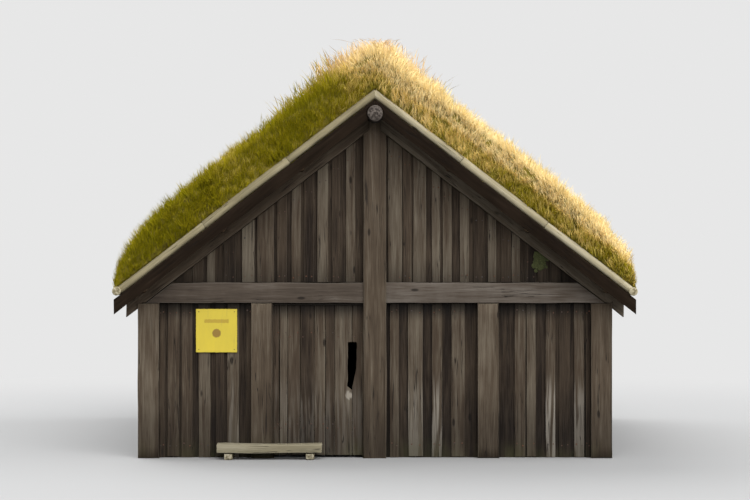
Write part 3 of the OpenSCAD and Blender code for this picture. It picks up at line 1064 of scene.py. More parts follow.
@dataclass
class Plank:
    """One sawn or riven board, with eased arrises and edges that wander a little.

    Attributes:
        width: Width of the board.
        length: Length of the board.
        thick: Thickness of the board.
        arris: Width of its eased edges.
        step: Length between its bends.
        stray: Wander of its edges.
        notch: Lower end, taper, upper end and depth of a cut in the edge on the side of notch_side.
        notch_side: Sign of the edge that has the cut.
        worn: Size of the pale worn spot under the cut, if any.
    """

    width: float
    length: float
    thick: float
    arris: float = 0.004
    step: float = 0.31
    stray: float = 0.004
    notch: Optional[tuple[float, float, float, float]] = None
    notch_side: int = 1
    worn: float = 0.0

    def shape(self, rng: random.Random) -> Shape:
        """Builds the board with its foot at the origin and its outer face at Z = 0.

        Args:
            rng: Source of its irregularities.

        Returns:
            The shape, with its layers.
        """
        shape = with_layers(bmesh.new())
        bmesh.ops.create_cube(shape, size=1.0)
        bmesh.ops.scale(shape, vec=(self.width, self.length, self.thick), verts=shape.verts)
        bmesh.ops.translate(shape, vec=(0.0, self.length / 2, -self.thick / 2), verts=shape.verts)
        ease(shape, self.arris)
        section(shape, Y_AXIS, self.step)
        if self.notch:
            self.cut_notch(shape)
        seed = rng.uniform(-50.0, 50.0)
        for vert in shape.verts:
            edge = 1.0 if vert.co.x > 0 else -1.0
            bend = noise.noise(Vector((seed, vert.co.y * 0.7, 0.0)))
            ragged = noise.noise(Vector((seed + 7.0 * edge, vert.co.y * 2.3, 4.0)))
            cup = noise.noise(Vector((seed - 5.0 * edge, vert.co.y * 1.1, 9.0)))
            vert.co.x += self.stray * (1.2 * bend + ragged)
            vert.co.z += 0.5 * self.stray * (cup - 0.6)
        return shape

    def cut_notch(self, shape: Shape) -> None:
        """Cuts the notch into one edge, square at its upper end and tapered at its lower end.

        Args:
            shape: Shape of the board.
        """
        low, full, high, depth = self.notch
        half = self.width / 2
        reach = 1.6 * depth
        for y in (low, full, high, high + 0.004, *(full + (high - full) * i / 6 for i in range(1, 6))):
            cut_through(shape, (0.0, y, 0.0), Y_AXIS)
        cut_through(shape, (self.notch_side * (half - reach), 0.0, 0.0), X_AXIS)
        if self.worn:
            spot = Vector((self.notch_side * (half - 0.2 * self.worn), low - 0.64 * self.worn, 0.0))
            self.wear(shape, spot)
        for vert in shape.verts:
            inset = (half - vert.co.x * self.notch_side) / reach
            if inset > 1.0 or not low < vert.co.y < high + 0.002:
                continue
            share = min(1.0, (vert.co.y - low) / (full - low))
            ragged = 1.0 + 0.35 * noise.noise(Vector((self.notch_side * 3.0, vert.co.y * 8.0, 5.0)))
            vert.co.x -= self.notch_side * depth * share * ragged * (1.0 - inset)

    def wear(self, shape: Shape, spot: Vector) -> None:
        """Marks the round spot that hands have worn pale.

        Args:
            shape: Shape of the board.
            spot: Middle of the spot.
        """
        for step in range(-9, 10):
            for axis in (X_AXIS, Y_AXIS):
                cut_through(shape, spot + axis * (self.worn * step / 12), axis)
        pale = shape.verts.layers.float[Layer.BLEACH.value]
        for vert in shape.verts:
            away = (vert.co - spot).xy.length / self.worn + 0.12 * noise.noise(vert.co * 30.0)
            vert[pale] = 5.0 * max(0.0, 0.75 - away)


@dataclass
class LogStick:
    """One peeled log or pole, a little crooked, with knots left standing.

    Attributes:
        width: Diameter across.
        height: Diameter from underside to top.
        length: Length of the log.
        sides: Faces round it.
        step: Length between its bends.
        crook: Reach of its bends.
        taper: Share of its diameter that is left at its far end.
    """

    width: float
    height: float
    length: float
    sides: int = 16
    step: float = 0.3
    crook: float = 0.008
    taper: float = 0.98

    def shape(self, rng: random.Random) -> Shape:
        """Builds the log from the origin along Y.

        Args:
            rng: Source of its irregularities.

        Returns:
            The shape, with its layers.
        """
        shape = with_layers(bmesh.new())
        bmesh.ops.create_cone(shape, cap_ends=True, segments=self.sides, radius1=0.5,
                              radius2=0.5 * self.taper, depth=1.0)
        turn = Matrix.Rotation(math.radians(-90.0), 4, "X")
        bmesh.ops.transform(shape, matrix=turn, verts=shape.verts)
        bmesh.ops.scale(shape, vec=(self.width, self.length, self.height), verts=shape.verts)
        bmesh.ops.translate(shape, vec=(0.0, self.length / 2, 0.0), verts=shape.verts)
        ease(shape, 0.05 * min(self.width, self.height), sharper=50.0)
        section(shape, Y_AXIS, self.step)
        seed = rng.uniform(-50.0, 50.0)
        for vert in shape.verts:
            round_it = Vector((vert.co.x, 0.0, vert.co.z))
            lump = noise.noise(Vector((round_it.x * 9.0 + seed, vert.co.y * 1.6, round_it.z * 9.0)))
            vert.co += round_it * (0.11 * lump - 0.05)
            vert.co.x += self.crook * noise.noise(Vector((seed, vert.co.y * 0.6, 1.0)))
            vert.co.z += self.crook * noise.noise(Vector((seed, vert.co.y * 0.6, 8.0)))
        return shape


@dataclass(frozen=True)
class Hewing:
    """How the timbers of one CAD node are hewn.

    Attributes:
        node: Name of the node.
        finish: Finish of the wood.
        tones: Lightness of its solids, repeated where there are more.
        arris: Width of the worn edges.
        step: Length between the facets that the axe left.
        swell: Depth of those facets.
        sloping: True if the timbers lie along the roof.
        body: CAD body that they ride on.
    """

    node: str
    finish: WoodFinish = HEWN
    tones: tuple[float, ...] = (0.5,)
    arris: float = 0.012
    step: float = 0.17
    swell: float = 0.009
    sloping: bool = False
    body: str = HOUSE

    def along(self, low: Vector, high: Vector) -> tuple[Vector, Vector]:
        """Finds how a timber lies.

        Args:
            low: Lowest corner of the timber.
            high: Highest corner of the timber.

        Returns:
            The directions of its length and of its outer face.
        """
        if self.sloping:
            side = Side.of(low + high)
            return ROOF.down(side), ROOF.out(side)
        size = high - low
        longest = max(range(3), key=lambda i: size[i])
        return (X_AXIS, Y_AXIS, Z_AXIS)[longest], (Z_AXIS, Z_AXIS, Y_AXIS)[longest]

    def build(self) -> None:
        """Hews the node's solids and puts them in its place."""
        stack = Stack("hewn_" + self.node)
        for number, shape in enumerate(solids(self.node)):
            low, high = box_of(shape)
            along, out = self.along(low, high)
            place = lying(along, out, (low + high) / 2)
            shape.transform(place.inverted())
            ease(shape, self.arris, segments=2)
            for axis in (X_AXIS, Y_AXIS, Z_AXIS):
                section(shape, axis, self.step)
            self.dent(shape, stack.rng.uniform(-50.0, 50.0))
            stack.add(shape, place, self.tones[number % len(self.tones)])
        stack.finish(self.finish, self.body, [self.node], smooth=28.0)

    def dent(self, shape: Shape, seed: float) -> None:
        """Moves the faces in and out by the depth of the axe's facets.

        Args:
            shape: Timber in its own axes.
            seed: Place in the noise.
        """
        shape.normal_update()
        moves = []
        for vert in shape.verts:
            at = Vector((vert.co.x * 5.0 + seed, vert.co.y * 2.6, vert.co.z * 5.0))
            moves.append(vert.normal * self.swell * (noise.noise(at) - 0.45))
        for vert, move in zip(shape.verts, moves):
            vert.co += move


@dataclass(frozen=True)
class TimberFrame:
    """Posts, beams, plates and rafters, each hewn from its CAD solid.

    Attributes:
        timbers: How the timbers of each CAD node are hewn.
    """

    timbers: tuple[Hewing, ...] = (
        Hewing("front_corner_posts", tones=(0.55, 0.51)),
        Hewing("front_inner_posts", tones=(0.44, 0.54)),
        Hewing("front_centre_post", tones=(0.46,)),
        Hewing("front_left_tie_beam", SILVERED, (0.39,)),
        Hewing("front_right_tie_beam", SILVERED, (0.59,)),
        Hewing("front_rafters", tones=(0.44, 0.76), step=0.22, sloping=True),
        Hewing("back_corner_posts", tones=(0.5, 0.42)),
        Hewing("back_inner_posts", tones=(0.55, 0.48)),
        Hewing("back_centre_post", tones=(0.5,)),
        Hewing("back_tie_beams", SILVERED, (0.45, 0.55)),
        Hewing("back_rafters", tones=(0.4, 0.36), step=0.22, sloping=True),
        Hewing("left_side_posts", tones=(0.5, 0.6, 0.42, 0.55)),
        Hewing("right_side_posts", tones=(0.56, 0.44, 0.6, 0.5)),
        Hewing("left_wall_plate", step=0.26),
        Hewing("right_wall_plate", step=0.26),
        Hewing("inner_rafters", INNER, (0.4, 0.55, 0.47), step=0.3, sloping=True),
        Hewing("inner_tie_beams", INNER, (0.5, 0.42, 0.56), step=0.26),
    )

    def build(self) -> None:
        """Hews every timber."""
        for hewing in self.timbers:
            hewing.build()


@dataclass(frozen=True)
class Cover:
    """One board of the outer layer of a bay, measured from the bay's left edge.

    Attributes:
        at: Distance of its middle from that edge.
        width: Width of the board.
        tone: Lightness from 0 to 1.
        bleach: Share of bleached wood near its foot.
    """

    at: float
    width: float
    tone: float = 0.6
    bleach: float = 0.0


Bay = tuple[Cover, ...]


def row(*boards: tuple[float, ...]) -> Bay:
    """Returns the outer boards of a bay from their places, widths, tones and bleach."""
    return tuple(Cover(*board) for board in boards)


@dataclass
class Nailing:
    """Forged nail heads, gathered as one piece.

    Attributes:
        name: Name of the piece.
        body: CAD body that it rides on.
        radius: Radius of a head.
        proud: Height of a head.
        sides: Faces round a head.
        top: Radius of a head's top, as a share of its own.
        places: Matrices of the heads, with their outer side along Z.
    """

    name: str
    body: str = HOUSE
    radius: float = 0.009
    proud: float = 0.005
    sides: int = 7
    top: float = 0.55
    places: list[Matrix] = field(default_factory=list)

    def build(self) -> None:
        """Makes the nail heads, each a low hammered dome."""
        stack = Stack(self.name)
        for place in self.places:
            head = with_layers(bmesh.new())
            size = self.radius * stack.rng.uniform(0.8, 1.2)
            bmesh.ops.create_cone(head, cap_ends=True, segments=self.sides, radius1=size,
                                  radius2=self.top * size, depth=self.proud)
            tilt = Matrix.Rotation(stack.rng.uniform(-0.2, 0.2), 4, "X")
            stack.add(head, place @ tilt)
        stack.finish(IRON, self.body)


@dataclass
class BoardWall:
    """Board-on-board walling of one CAD node: wide boards behind, narrower boards over their joints.

    Attributes:
        node: Name of the node.
        out: Direction out of the wall.
        nails: Nail heads that the wall adds to.
        covers: Outer boards of each bay, or None for an even row.
        under_tone: Lightness of the boards behind, kept darker than the outer boards as painted shade in
            the joints between those.
        gable: True if the boards end under the rafters.
        nail_rows: Heights of the nails over the foot of the boards, and from their top.
        pitch: Spacing of an even row.
        layer: Thickness of each layer.
        tuck: Reach of the boards behind into the posts beside a bay and the beam over it.
        seam: Gap between two boards behind.
        slimmer: How much thinner than their layer the boards behind are.
        narrowest: Least width of a board behind.
        shortest: Least length of a board behind and of an outer board.
        nailed_from: Least length of an outer board that is nailed.
        nail_in: Distance of its nails from an outer board's middle, as a share of its width.
        lift: Most that an outer board ends over the foot of its wall.
    """

    node: str
    out: Vector
    nails: Nailing
    covers: Optional[Sequence[Bay]] = None
    under_tone: float = 0.0
    gable: bool = False
    nail_rows: tuple[float, float] = (0.16, 0.1)
    pitch: float = 0.215
    layer: float = 0.025
    tuck: float = 0.014
    seam: float = 0.004
    slimmer: float = 0.003
    narrowest: float = 0.02
    shortest: tuple[float, float] = (0.05, 0.08)
    nailed_from: float = 0.35
    nail_in: float = 0.28
    lift: float = 0.016

    def build(self) -> None:
        """Lays the boards of every bay."""
        stack = Stack("laid_" + self.node)
        for number, (low, high) in enumerate(node_boxes(self.node)):
            across = Z_AXIS.cross(self.out)
            middle = (low + high) / 2
            half = abs((high - low).dot(across)) / 2
            depth = abs((high - low).dot(self.out)) / 2
            corner = middle - across * half + self.out * depth
            corner.z = low.z
            place = lying(Z_AXIS, self.out, corner)
            width, height = 2 * half, high.z - low.z
            covers = self.covers[number] if self.covers else self.even_row(width, stack.rng)
            cut = (Z_AXIS * ROOF.under_peak, ROOF.out(Side.of(middle))) if self.gable else None
            self.lay_under(stack, place, width, height, covers, cut)
            self.lay_over(stack, place, height, covers, cut)
        stack.finish(BOARDS, HOUSE, [self.node])

    def even_row(self, width: float, rng: random.Random) -> list[Cover]:
        """Spreads outer boards over a bay, with uneven widths and tones.

        Args:
            width: Width of the bay.
            rng: Source of the unevenness.

        Returns:
            The boards.
        """
        count = max(2, round(width / self.pitch))
        gap = width / count
        return [Cover((i + 0.5) * gap + rng.uniform(-0.02, 0.02), rng.uniform(0.11, 0.165),
                      rng.uniform(0.35, 0.8), rng.choice((0.0, 0.0, 0.2))) for i in range(count)]

    def top_at(self, place: Matrix, x: float, height: float, cut: Optional[tuple]) -> float:
        """Measures the room for a board at a place across the bay.

        Args:
            place: Matrix of the bay's lower left corner.
            x: Distance from the bay's left edge.
            height: Height of the bay.
            cut: Plane that trims the boards, if any.

        Returns:
            The length up to the bay's top.
        """
        if not cut:
            return height
        point = place @ Vector((x, 0.0, 0.0))
        room = ROOF.under_peak - math.tan(ROOF.pitch) * abs(point.x) - point.z
        return min(height, room)

    def lay_under(self, stack: Stack, place: Matrix, width: float, height: float, covers: Sequence[Cover],
                  cut: Optional[tuple]) -> None:
        """Lays the boards behind, whose joints lie under the middles of the outer boards.

        Args:
            stack: Stack that takes the boards.
            place: Matrix of the bay's lower left corner.
            width: Width of the bay.
            height: Height of the bay.
            covers: Outer boards of the bay.
            cut: Plane that trims the boards, if any.
        """
        joints = [-self.tuck, *(c.at for c in covers), width + self.tuck]
        for left, right in zip(joints, joints[1:]):
            wide = right - left - self.seam
            top = max(self.top_at(place, x, height, cut) for x in (left, right))
            if wide < self.narrowest or top < self.shortest[0]:
                continue
            length = top if cut else top + self.tuck
            board = Plank(wide, length, self.layer - self.slimmer, arris=0.003).shape(stack.rng)
            at = Matrix.Translation(((left + right) / 2, 0.0, -self.layer - 0.002))
            # Painted shade: the boards behind get a darker tone than the outer boards, for the shade in the
            # joints.
            tone = self.under_tone + stack.rng.uniform(-0.14, 0.16)
            stack.add(board, place @ at, tone, cut=cut)

    def lay_over(self, stack: Stack, place: Matrix, height: float, covers: Sequence[Cover],
                 cut: Optional[tuple]) -> None:
        """Lays the outer boards and marks their nails.

        Args:
            stack: Stack that takes the boards.
            place: Matrix of the bay's lower left corner.
            height: Height of the bay.
            covers: Outer boards of the bay.
            cut: Plane that trims the boards, if any.
        """
        for cover in covers:
            edges = (cover.at - cover.width / 2, cover.at + cover.width / 2)
            top = max(self.top_at(place, x, height, cut) for x in edges)
            if top < self.shortest[1]:
                continue
            lift = stack.rng.uniform(0.0, self.lift) if not cut else 0.0
            board = Plank(cover.width, top - lift, self.layer).shape(stack.rng)
            lean = Matrix.Rotation(stack.rng.uniform(-0.003, 0.003), 4, "Z")
            at = Matrix.Translation((cover.at, lift, -stack.rng.uniform(0.0, 0.002))) @ lean
            stack.add(board, place @ at, cover.tone, cover.bleach, cut)
            lower = min(self.top_at(place, x, height, cut) for x in edges)
            self.mark_nails(stack.rng, place, cover, lower)

    def mark_nails(self, rng: random.Random, place: Matrix, cover: Cover, top: float) -> None:
        """Marks two nails near each end of an outer board, unless it is short.

        Args:
            rng: Source of their stray.
            place: Matrix of the bay's lower left corner.
            cover: The board.
            top: Length of its shorter edge.
        """
        if top < self.nailed_from:
            return
        for y in (self.nail_rows[0], top - self.nail_rows[1]):
            for share in (-self.nail_in, self.nail_in):
                at = (cover.at + share * cover.width, y + rng.uniform(-0.02, 0.02), 0.0)
                self.nails.places.append(place @ Matrix.Translation(at))


@dataclass(frozen=True)
class Walls:
    """All board walls of the house, with the front bays laid as they stand.

    Attributes:
        left_bay: Outer boards of the front's first bay from the left.
        inner_bay: Outer boards of its third bay, beside the door's.
        right_bay: Outer boards of its fourth bay.
        left_gable: Outer boards of the front gable's left half.
        right_gable: Outer boards of the front gable's right half.
        gable_rows: Heights of a gable's nails over the foot of its boards, and from their top.
    """

    left_bay: Bay = row((0.03, 0.06, 0.36), (0.165, 0.14, 0.5), (0.33, 0.13, 0.42), (0.543, 0.14, 0.64),
                        (0.73, 0.1, 0.12), (0.885, 0.14, 0.6, 0.25), (1.075, 0.06, 0.18))
    inner_bay: Bay = row((0.108, 0.107, 0.58), (0.365, 0.177, 0.68, 0.28), (0.62, 0.12, 0.5, 0.5),
                         (0.878, 0.16, 0.62))
    right_bay: Bay = row((0.26, 0.13, 0.5), (0.4, 0.11, 0.6), (0.63, 0.115, 0.54, 0.65),
                         (0.8, 0.13, 0.17), (0.973, 0.12, 0.5, 0.4), (1.08, 0.05, 0.18))
    left_gable: Bay = row((0.31, 0.13, 0.38), (0.465, 0.1, 0.76), (0.69, 0.15, 0.08), (0.915, 0.15, 0.86),
                          (1.125, 0.2, 0.42), (1.32, 0.12, 0.32), (1.49, 0.11, 0.6), (1.645, 0.12, 0.14),
                          (1.812, 0.13, 0.72), (1.97, 0.1, 0.26), (2.145, 0.11, 0.56))
    right_gable: Bay = row((0.12, 0.17, 0.7), (0.265, 0.1, 0.5), (0.41, 0.15, 0.66), (0.61, 0.1, 0.76),
                           (0.745, 0.11, 0.62), (0.955, 0.11, 0.74), (1.13, 0.13, 0.2),
                           (1.285, 0.1, 0.72), (1.45, 0.12, 0.36), (1.57, 0.1, 0.68), (1.75, 0.13, 0.06),
                           (1.9, 0.12, 0.4), (2.05, 0.12, 0.3))
    gable_rows: tuple[float, float] = (0.07, 0.12)

    def build(self) -> None:
        """Lays the boards of the front, the back and both sides."""
        nails = [Nailing(name + "_wall_nails") for name in ("front", "back", "left", "right")]
        front, back, left, right = nails
        walls = (
            BoardWall("front_left_outer_boards", -Y_AXIS, front, [self.left_bay], under_tone=0.1),
            BoardWall("front_right_inner_boards", -Y_AXIS, front, [self.inner_bay]),
            BoardWall("front_right_outer_boards", -Y_AXIS, front, [self.right_bay]),
            BoardWall("front_gable_boards", -Y_AXIS, front, [self.left_gable, self.right_gable],
                      under_tone=0.17, gable=True, nail_rows=self.gable_rows),
            BoardWall("back_wall_boards", Y_AXIS, back),
            BoardWall("back_gable_boards", Y_AXIS, back, under_tone=0.1, gable=True,
                      nail_rows=self.gable_rows),
            BoardWall("left_wall_boards", -X_AXIS, left),
            BoardWall("right_wall_boards", X_AXIS, right))
        for part in (*walls, *nails):
            part.build()


@dataclass
class MossPatch:
    """Moss cushions that sit on the front gable boards in a damp place under the rafter.

    Attributes:
        cushions: Number of cushions.
        middle: Middle of the patch along X and Z.
        spread: Reach of the patch along X and Z.
        sizes: Least and greatest radius of a cushion in the middle of the patch.
    """

    cushions: int = 34
    middle: tuple[float, float] = (1.99, 2.345)
    spread: tuple[float, float] = (0.1, 0.14)
    sizes: tuple[float, float] = (0.02, 0.045)

    def build(self) -> None:
        """Builds the cushions as one piece."""
        rng = random.Random("moss")
        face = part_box("front_gable_boards")[0].y
        moss = bmesh.new()
        for number in range(self.cushions):
            reach, turn = math.sqrt(rng.random()), rng.uniform(0.0, 2 * math.pi)
            x = self.middle[0] + self.spread[0] * reach * math.cos(turn)
            z = self.middle[1] + self.spread[1] * reach * math.sin(turn)
            radius = rng.uniform(*self.sizes) * (1.15 - 0.5 * reach)
            cushion = bmesh.ops.create_icosphere(moss, subdivisions=3, radius=1.0)["verts"]
            for vert in cushion:
                lump = noise.noise(vert.co * 1.6 + Vector((9.0 * number, 0.0, 0.0)))
                curl = noise.noise(vert.co * 6.0 + Vector((0.0, 4.0 * number, 0.0)))
                vert.co *= radius * (1.0 + 0.4 * lump + 0.16 * curl)
                vert.co = Vector((x + vert.co.x, face - 0.35 * vert.co.y, z + 1.1 * vert.co.z))
        bmesh.ops.recalc_face_normals(moss, faces=moss.faces)
        show(as_mesh(moss, "gable_moss", 180.0), MOSS)


@dataclass(frozen=True)
class Doorway:
    """Door of flush boards with a hand slot where the last two meet, its ledges, irons and stops.

    Attributes:
        joints: Places of the joints between its boards, from the left edge of the leaf.
        tones: Lightness of its boards, from the left.
        slot_left: Lower end, taper, upper end and depth of the slot's cut in the board on its left.
        slot_right: The same for the board on its right.
        worn: Size of the pale worn spot under the slot.
        seam: Gap between two boards.
        bleach: Share of bleached wood near the foot.
        nail_in: Distance of the nails from a board's middle, as a share of its width.
        nail_up: Distance of the nails over and under the middle of a ledge.
    """

    joints: tuple[float, ...] = (0.075, 0.172, 0.325, 0.495, 0.632, 0.742, 0.952)
    tones: tuple[float, ...] = (0.4, 0.66, 0.48, 0.16, 0.58, 0.3, 0.62, 0.4)
    slot_left: tuple[float, float, float, float] = (0.785, 0.83, 1.36, 0.05)
    slot_right: tuple[float, float, float, float] = (0.82, 1.05, 1.36, 0.05)
    worn: float = 0.095
    seam: float = 0.006
    bleach: float = 0.15
    nail_in: float = 0.3
    nail_up: float = 0.025

    def build(self) -> None:
        """Builds the door and everything that carries it."""
        low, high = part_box("door_leaf")
        place = lying(Z_AXIS, -Y_AXIS, Vector((low.x, low.y, low.z)))
        self.leaf(place, high.x - low.x, high.z - low.z, high.y - low.y)
        Hewing("door_ledges", BOARDS, (0.4, 0.5), arris=0.006, step=0.2, swell=0.004, body=DOOR).build()
        Hewing("door_stops", BOARDS, (0.3, 0.2, 0.35), arris=0.003, step=0.3, swell=0.003).build()
        for node in ("door_straps", "door_pintles"):
            self.dress(node)

    def leaf(self, place: Matrix, width: float, height: float, thick: float) -> None:
        """Lays the leaf's boards and cuts the hand slot.

        Args:
            place: Matrix of the leaf's lower left corner on its outer face.
            width: Width of the leaf.
            height: Height of the leaf.
            thick: Thickness of the boards.
        """
        stack = Stack("laid_door_leaf")
        nails = Nailing("door_nails", DOOR)
        rows = [(box[0].z + box[1].z) / 2 - place.translation.z for box in node_boxes("door_ledges")]
        edges = [0.0, *self.joints, width]
        for number, (left, right) in enumerate(zip(edges, edges[1:])):
            board = Plank(right - left - self.seam, height, thick - 0.002, stray=0.003)
            if number == len(edges) - 3:
                board.notch, board.notch_side, board.worn = self.slot_left, 1, self.worn
            elif number == len(edges) - 2:
                board.notch, board.notch_side = self.slot_right, -1
            middle = (left + right) / 2
            at = Matrix.Translation((middle, 0.0, -stack.rng.uniform(0.0, 0.002)))
            stack.add(board.shape(stack.rng), place @ at, self.tones[number], self.bleach)
            for y in rows:
                for hand in (-1, 1):
                    spot = (middle + self.nail_in * hand * (right - left), y + self.nail_up * hand, 0.0)
                    nails.places.append(place @ Matrix.Translation(spot))
        stack.finish(BOARDS, DOOR, ["door_leaf"])
        nails.build()

    @staticmethod
    def dress(node: str) -> None:
        """Gives a CAD node of iron its finish.

        Args:
            node: Name of the node.
        """
        piece = frame["nodes"][node]
        piece.data.materials.clear()
        piece.data.materials.append(dressed(IRON))
        log.info("%s: kept from the frame", node)


@dataclass(frozen=True)
class SignAndStep:
    """Painted sign with its screws, and the doorstep plank on its bearers.

    Attributes:
        screw_in: Distance of the screws from the sign's edges.
    """

    screw_in: float = 0.035

    def build(self) -> None:
        """Builds the sign and the step."""
        low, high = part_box("sign_plate")
        stack = Stack("painted_sign")
        width, height, thick = high.x - low.x, high.z - low.z, high.y - low.y
        plate = Plank(width, height, thick, arris=0.003, step=0.13, stray=0.0015).shape(stack.rng)
        place = lying(Z_AXIS, -Y_AXIS, Vector(((low.x + high.x) / 2, low.y, low.z)))
        stack.add(plate, place)
        middle = ((low.x + high.x) / 2, low.y, (low.z + high.z) / 2)
        stack.finish(PaintFinish("sign_paint_finish", "sign_paint", middle), HOUSE, ["sign_plate"])
        screws = Nailing("sign_screws", radius=0.008, proud=0.006)
        for x in (-width / 2 + self.screw_in, width / 2 - self.screw_in):
            for y in (self.screw_in, height - self.screw_in):
                screws.places.append(place @ Matrix.Translation((x, y, 0.0)))
        screws.build()
        Hewing("doorstep_plank", STEP, (0.6,), arris=0.012, step=0.1, swell=0.012).build()
        Hewing("doorstep_bearers", STEP, (0.3, 0.36), arris=0.01, step=0.1, swell=0.01).build()


@dataclass(frozen=True)
class RoofTimbers:
    """Roof boards, purlins, ridge pole, bargeboards, verge poles and eaves logs.

    Attributes:
        board_width: Width of a roof board with its seam, which is evened out over the house.
        board_thick: Thickness of the roof boards.
        seam: Gap between two roof boards.
        eaves_in: How much shorter than their slope the roof boards are.
        ridge_gap: Distance of the roof boards from the ridge line, down the slope.
        sunk: Depth of the roof boards' top under the line of the roof.
        mitre: Added length of the poles that meet over the ridge, which is then cut square.
        pole_fat: Width and height of a verge pole's shape, as shares of those of its CAD bar.
    """

    board_width: float = 0.19
    board_thick: float = 0.034
    seam: float = 0.004
    eaves_in: float = 0.03
    ridge_gap: float = 0.025
    sunk: float = 0.0005
    mitre: float = 0.06
    pole_fat: tuple[float, float] = (1.02, 1.04)

    def build(self) -> None:
        """Builds every timber of the roof."""
        for side in Side:
            self.deck(side)
        self.logs("ridge_pole", RIDGE, sides=20, crook=0.004, tone=0.46)
        self.logs("purlins", INNER, sides=14, crook=0.005, tone=0.5)
        self.logs("eaves_logs", POLES, sides=16, crook=0.012, tone=0.55)
        for end in End:
            name = end.name.lower()
            # Painted shade: the right bargeboards get a darker tone than the left, against the light that
            # reaches them from the right.
            Hewing(name + "_bargeboards", NEAR_BLACK, (0.27, 0.17), arris=0.006, step=0.25, swell=0.006,
                   sloping=True).build()
            self.verge_poles(name + "_verge_poles")

    def deck(self, side: Side) -> None:
        """Lays the roof boards of one slope, each from the ridge down to the eaves.

        Args:
            side: Slope that they lie on.
        """
        node = side.name.lower() + "_roof_boards"
        stack = Stack("laid_" + node)
        count = round(2 * ROOF.verge / self.board_width)
        pitch = 2 * ROOF.verge / count
        length = ROOF.reach / math.cos(ROOF.pitch) - self.eaves_in
        down, out = ROOF.down(side), ROOF.out(side)
        for i in range(count):
            board = Plank(pitch - self.seam, length, self.board_thick, step=0.7, stray=0.002)
            shape = board.shape(stack.rng)
            start = Vector((0.0, -ROOF.verge + (i + 0.5) * pitch, ROOF.peak)) + down * self.ridge_gap
            stack.add(shape, lying(down, out, start + out * -self.sunk), stack.rng.uniform(0.3, 0.7))
        stack.finish(INNER, HOUSE, [node])

    @staticmethod
    def logs(node: str, finish: WoodFinish, sides: int, crook: float, tone: float) -> None:
        """Puts peeled logs in place of a node's round bars that lie along the house.

        Args:
            node: Name of the node.
            finish: Finish of the wood.
            sides: Faces round a log.
            crook: Reach of its bends.
            tone: Lightness from 0 to 1.
        """
        stack = Stack("peeled_" + node)
        for low, high in node_boxes(node):
            size = high - low
            stick = LogStick(size.x, size.z, size.y, sides, crook=crook)
            start = Vector(((low.x + high.x) / 2, low.y, (low.z + high.z) / 2))
            place = lying(Y_AXIS, Z_AXIS, start)
            stack.add(stick.shape(stack.rng), place, tone + stack.rng.uniform(-0.06, 0.06), own_grain=True)
        stack.finish(finish, HOUSE, [node], smooth=50.0)

    def verge_poles(self, node: str) -> None:
        """Puts flattened poles, laid end to end, in place of a node's bars along the slopes.

        Args:
            node: Name of the node.
        """
        stack = Stack("peeled_" + node)
        for shape in solids(node):
            low, high = box_of(shape)
            side = Side.of(low + high)
            down, out = ROOF.down(side), ROOF.out(side)
            height = max(ROOF.over(v.co) for v in shape.verts)
            shape.free()
            inner, outer = sorted((abs(low.x), abs(high.x)))
            length = (outer - inner) / math.cos(ROOF.pitch)
            middle_y = (low.y + high.y) / 2
            start = Vector((side.value * inner, middle_y, ROOF.height(inner, 0.0))) + out * (height / 2)
            cut = None
            if inner < self.mitre:
                start -= down * self.mitre
                length += self.mitre
                cut = (Vector(), -X_AXIS * side.value)
            wide, tall = self.pole_fat
            stick = LogStick((high.y - low.y) * wide, height * tall, length, sides=14, step=0.22)
            stick_shape = stick.shape(stack.rng)
            tone = 0.48 + 0.12 * side.value + stack.rng.uniform(-0.05, 0.05)
            stack.add(stick_shape, lying(down, out, start), tone, cut=cut, own_grain=True)
        stack.finish(POLES, HOUSE, [node], smooth=50.0)


@dataclass
class Tuft:
    """One clump of grass blades that spread from a shared root.

    Attributes:
        blades: Number of blades.
        spread: Radius of the root.
        length: Length of the blades.
        width: Width of a blade.
        droop: Reach of the tips, as a share of the length.
        head: Width of the seed head, as a share of the blade's width, or 0 for a plain blade.
    """

    blades: int = 12
    spread: float = 0.035
    length: float = 0.2
    width: float = 0.0075
    droop: float = 0.36
    head: float = 0.0

    def mesh(self, name: str, rng: random.Random) -> bpy.types.Mesh:
        """Builds the clump.

        Args:
            name: Name of the mesh.
            rng: Source of its irregularities.

        Returns:
            The mesh, with the height along each blade from 0 to 1 as its tip layer.
        """
        clump = bmesh.new()
        tip = clump.verts.layers.float.new("tip")
        for _ in range(self.blades):
            rows = 4 if self.head else 2
            grid = bmesh.ops.create_grid(clump, x_segments=1, y_segments=rows, size=0.5)["verts"]
            tall = self.length * rng.uniform(0.6, 1.15)
            reach = tall * self.droop * rng.uniform(0.2, 1.4)
            top = []
            for vert in grid:
                t = vert.co.y + 0.5
                vert[tip] = t
                width = self.width * (1.0 - 0.25 * t)
                if self.head:
                    width *= self.head if 0.6 < t < 0.9 else 0.4
                vert.co = Vector((vert.co.x * width, reach * t ** 1.8, tall * t * (1.0 - 0.12 * t)))
                if t > 0.9:
                    top.append(vert)
            turn = Matrix.Rotation(rng.uniform(0.0, 2 * math.pi), 4, "Z")
            root = Vector((rng.uniform(-1, 1), rng.uniform(-1, 1), 0.0)) * self.spread
            bmesh.ops.transform(clump, matrix=Matrix.Translation(root) @ turn, verts=grid)
            bmesh.ops.pointmerge(clump, verts=top, merge_co=(top[0].co + top[1].co) / 2)
        return as_mesh(clump, name)


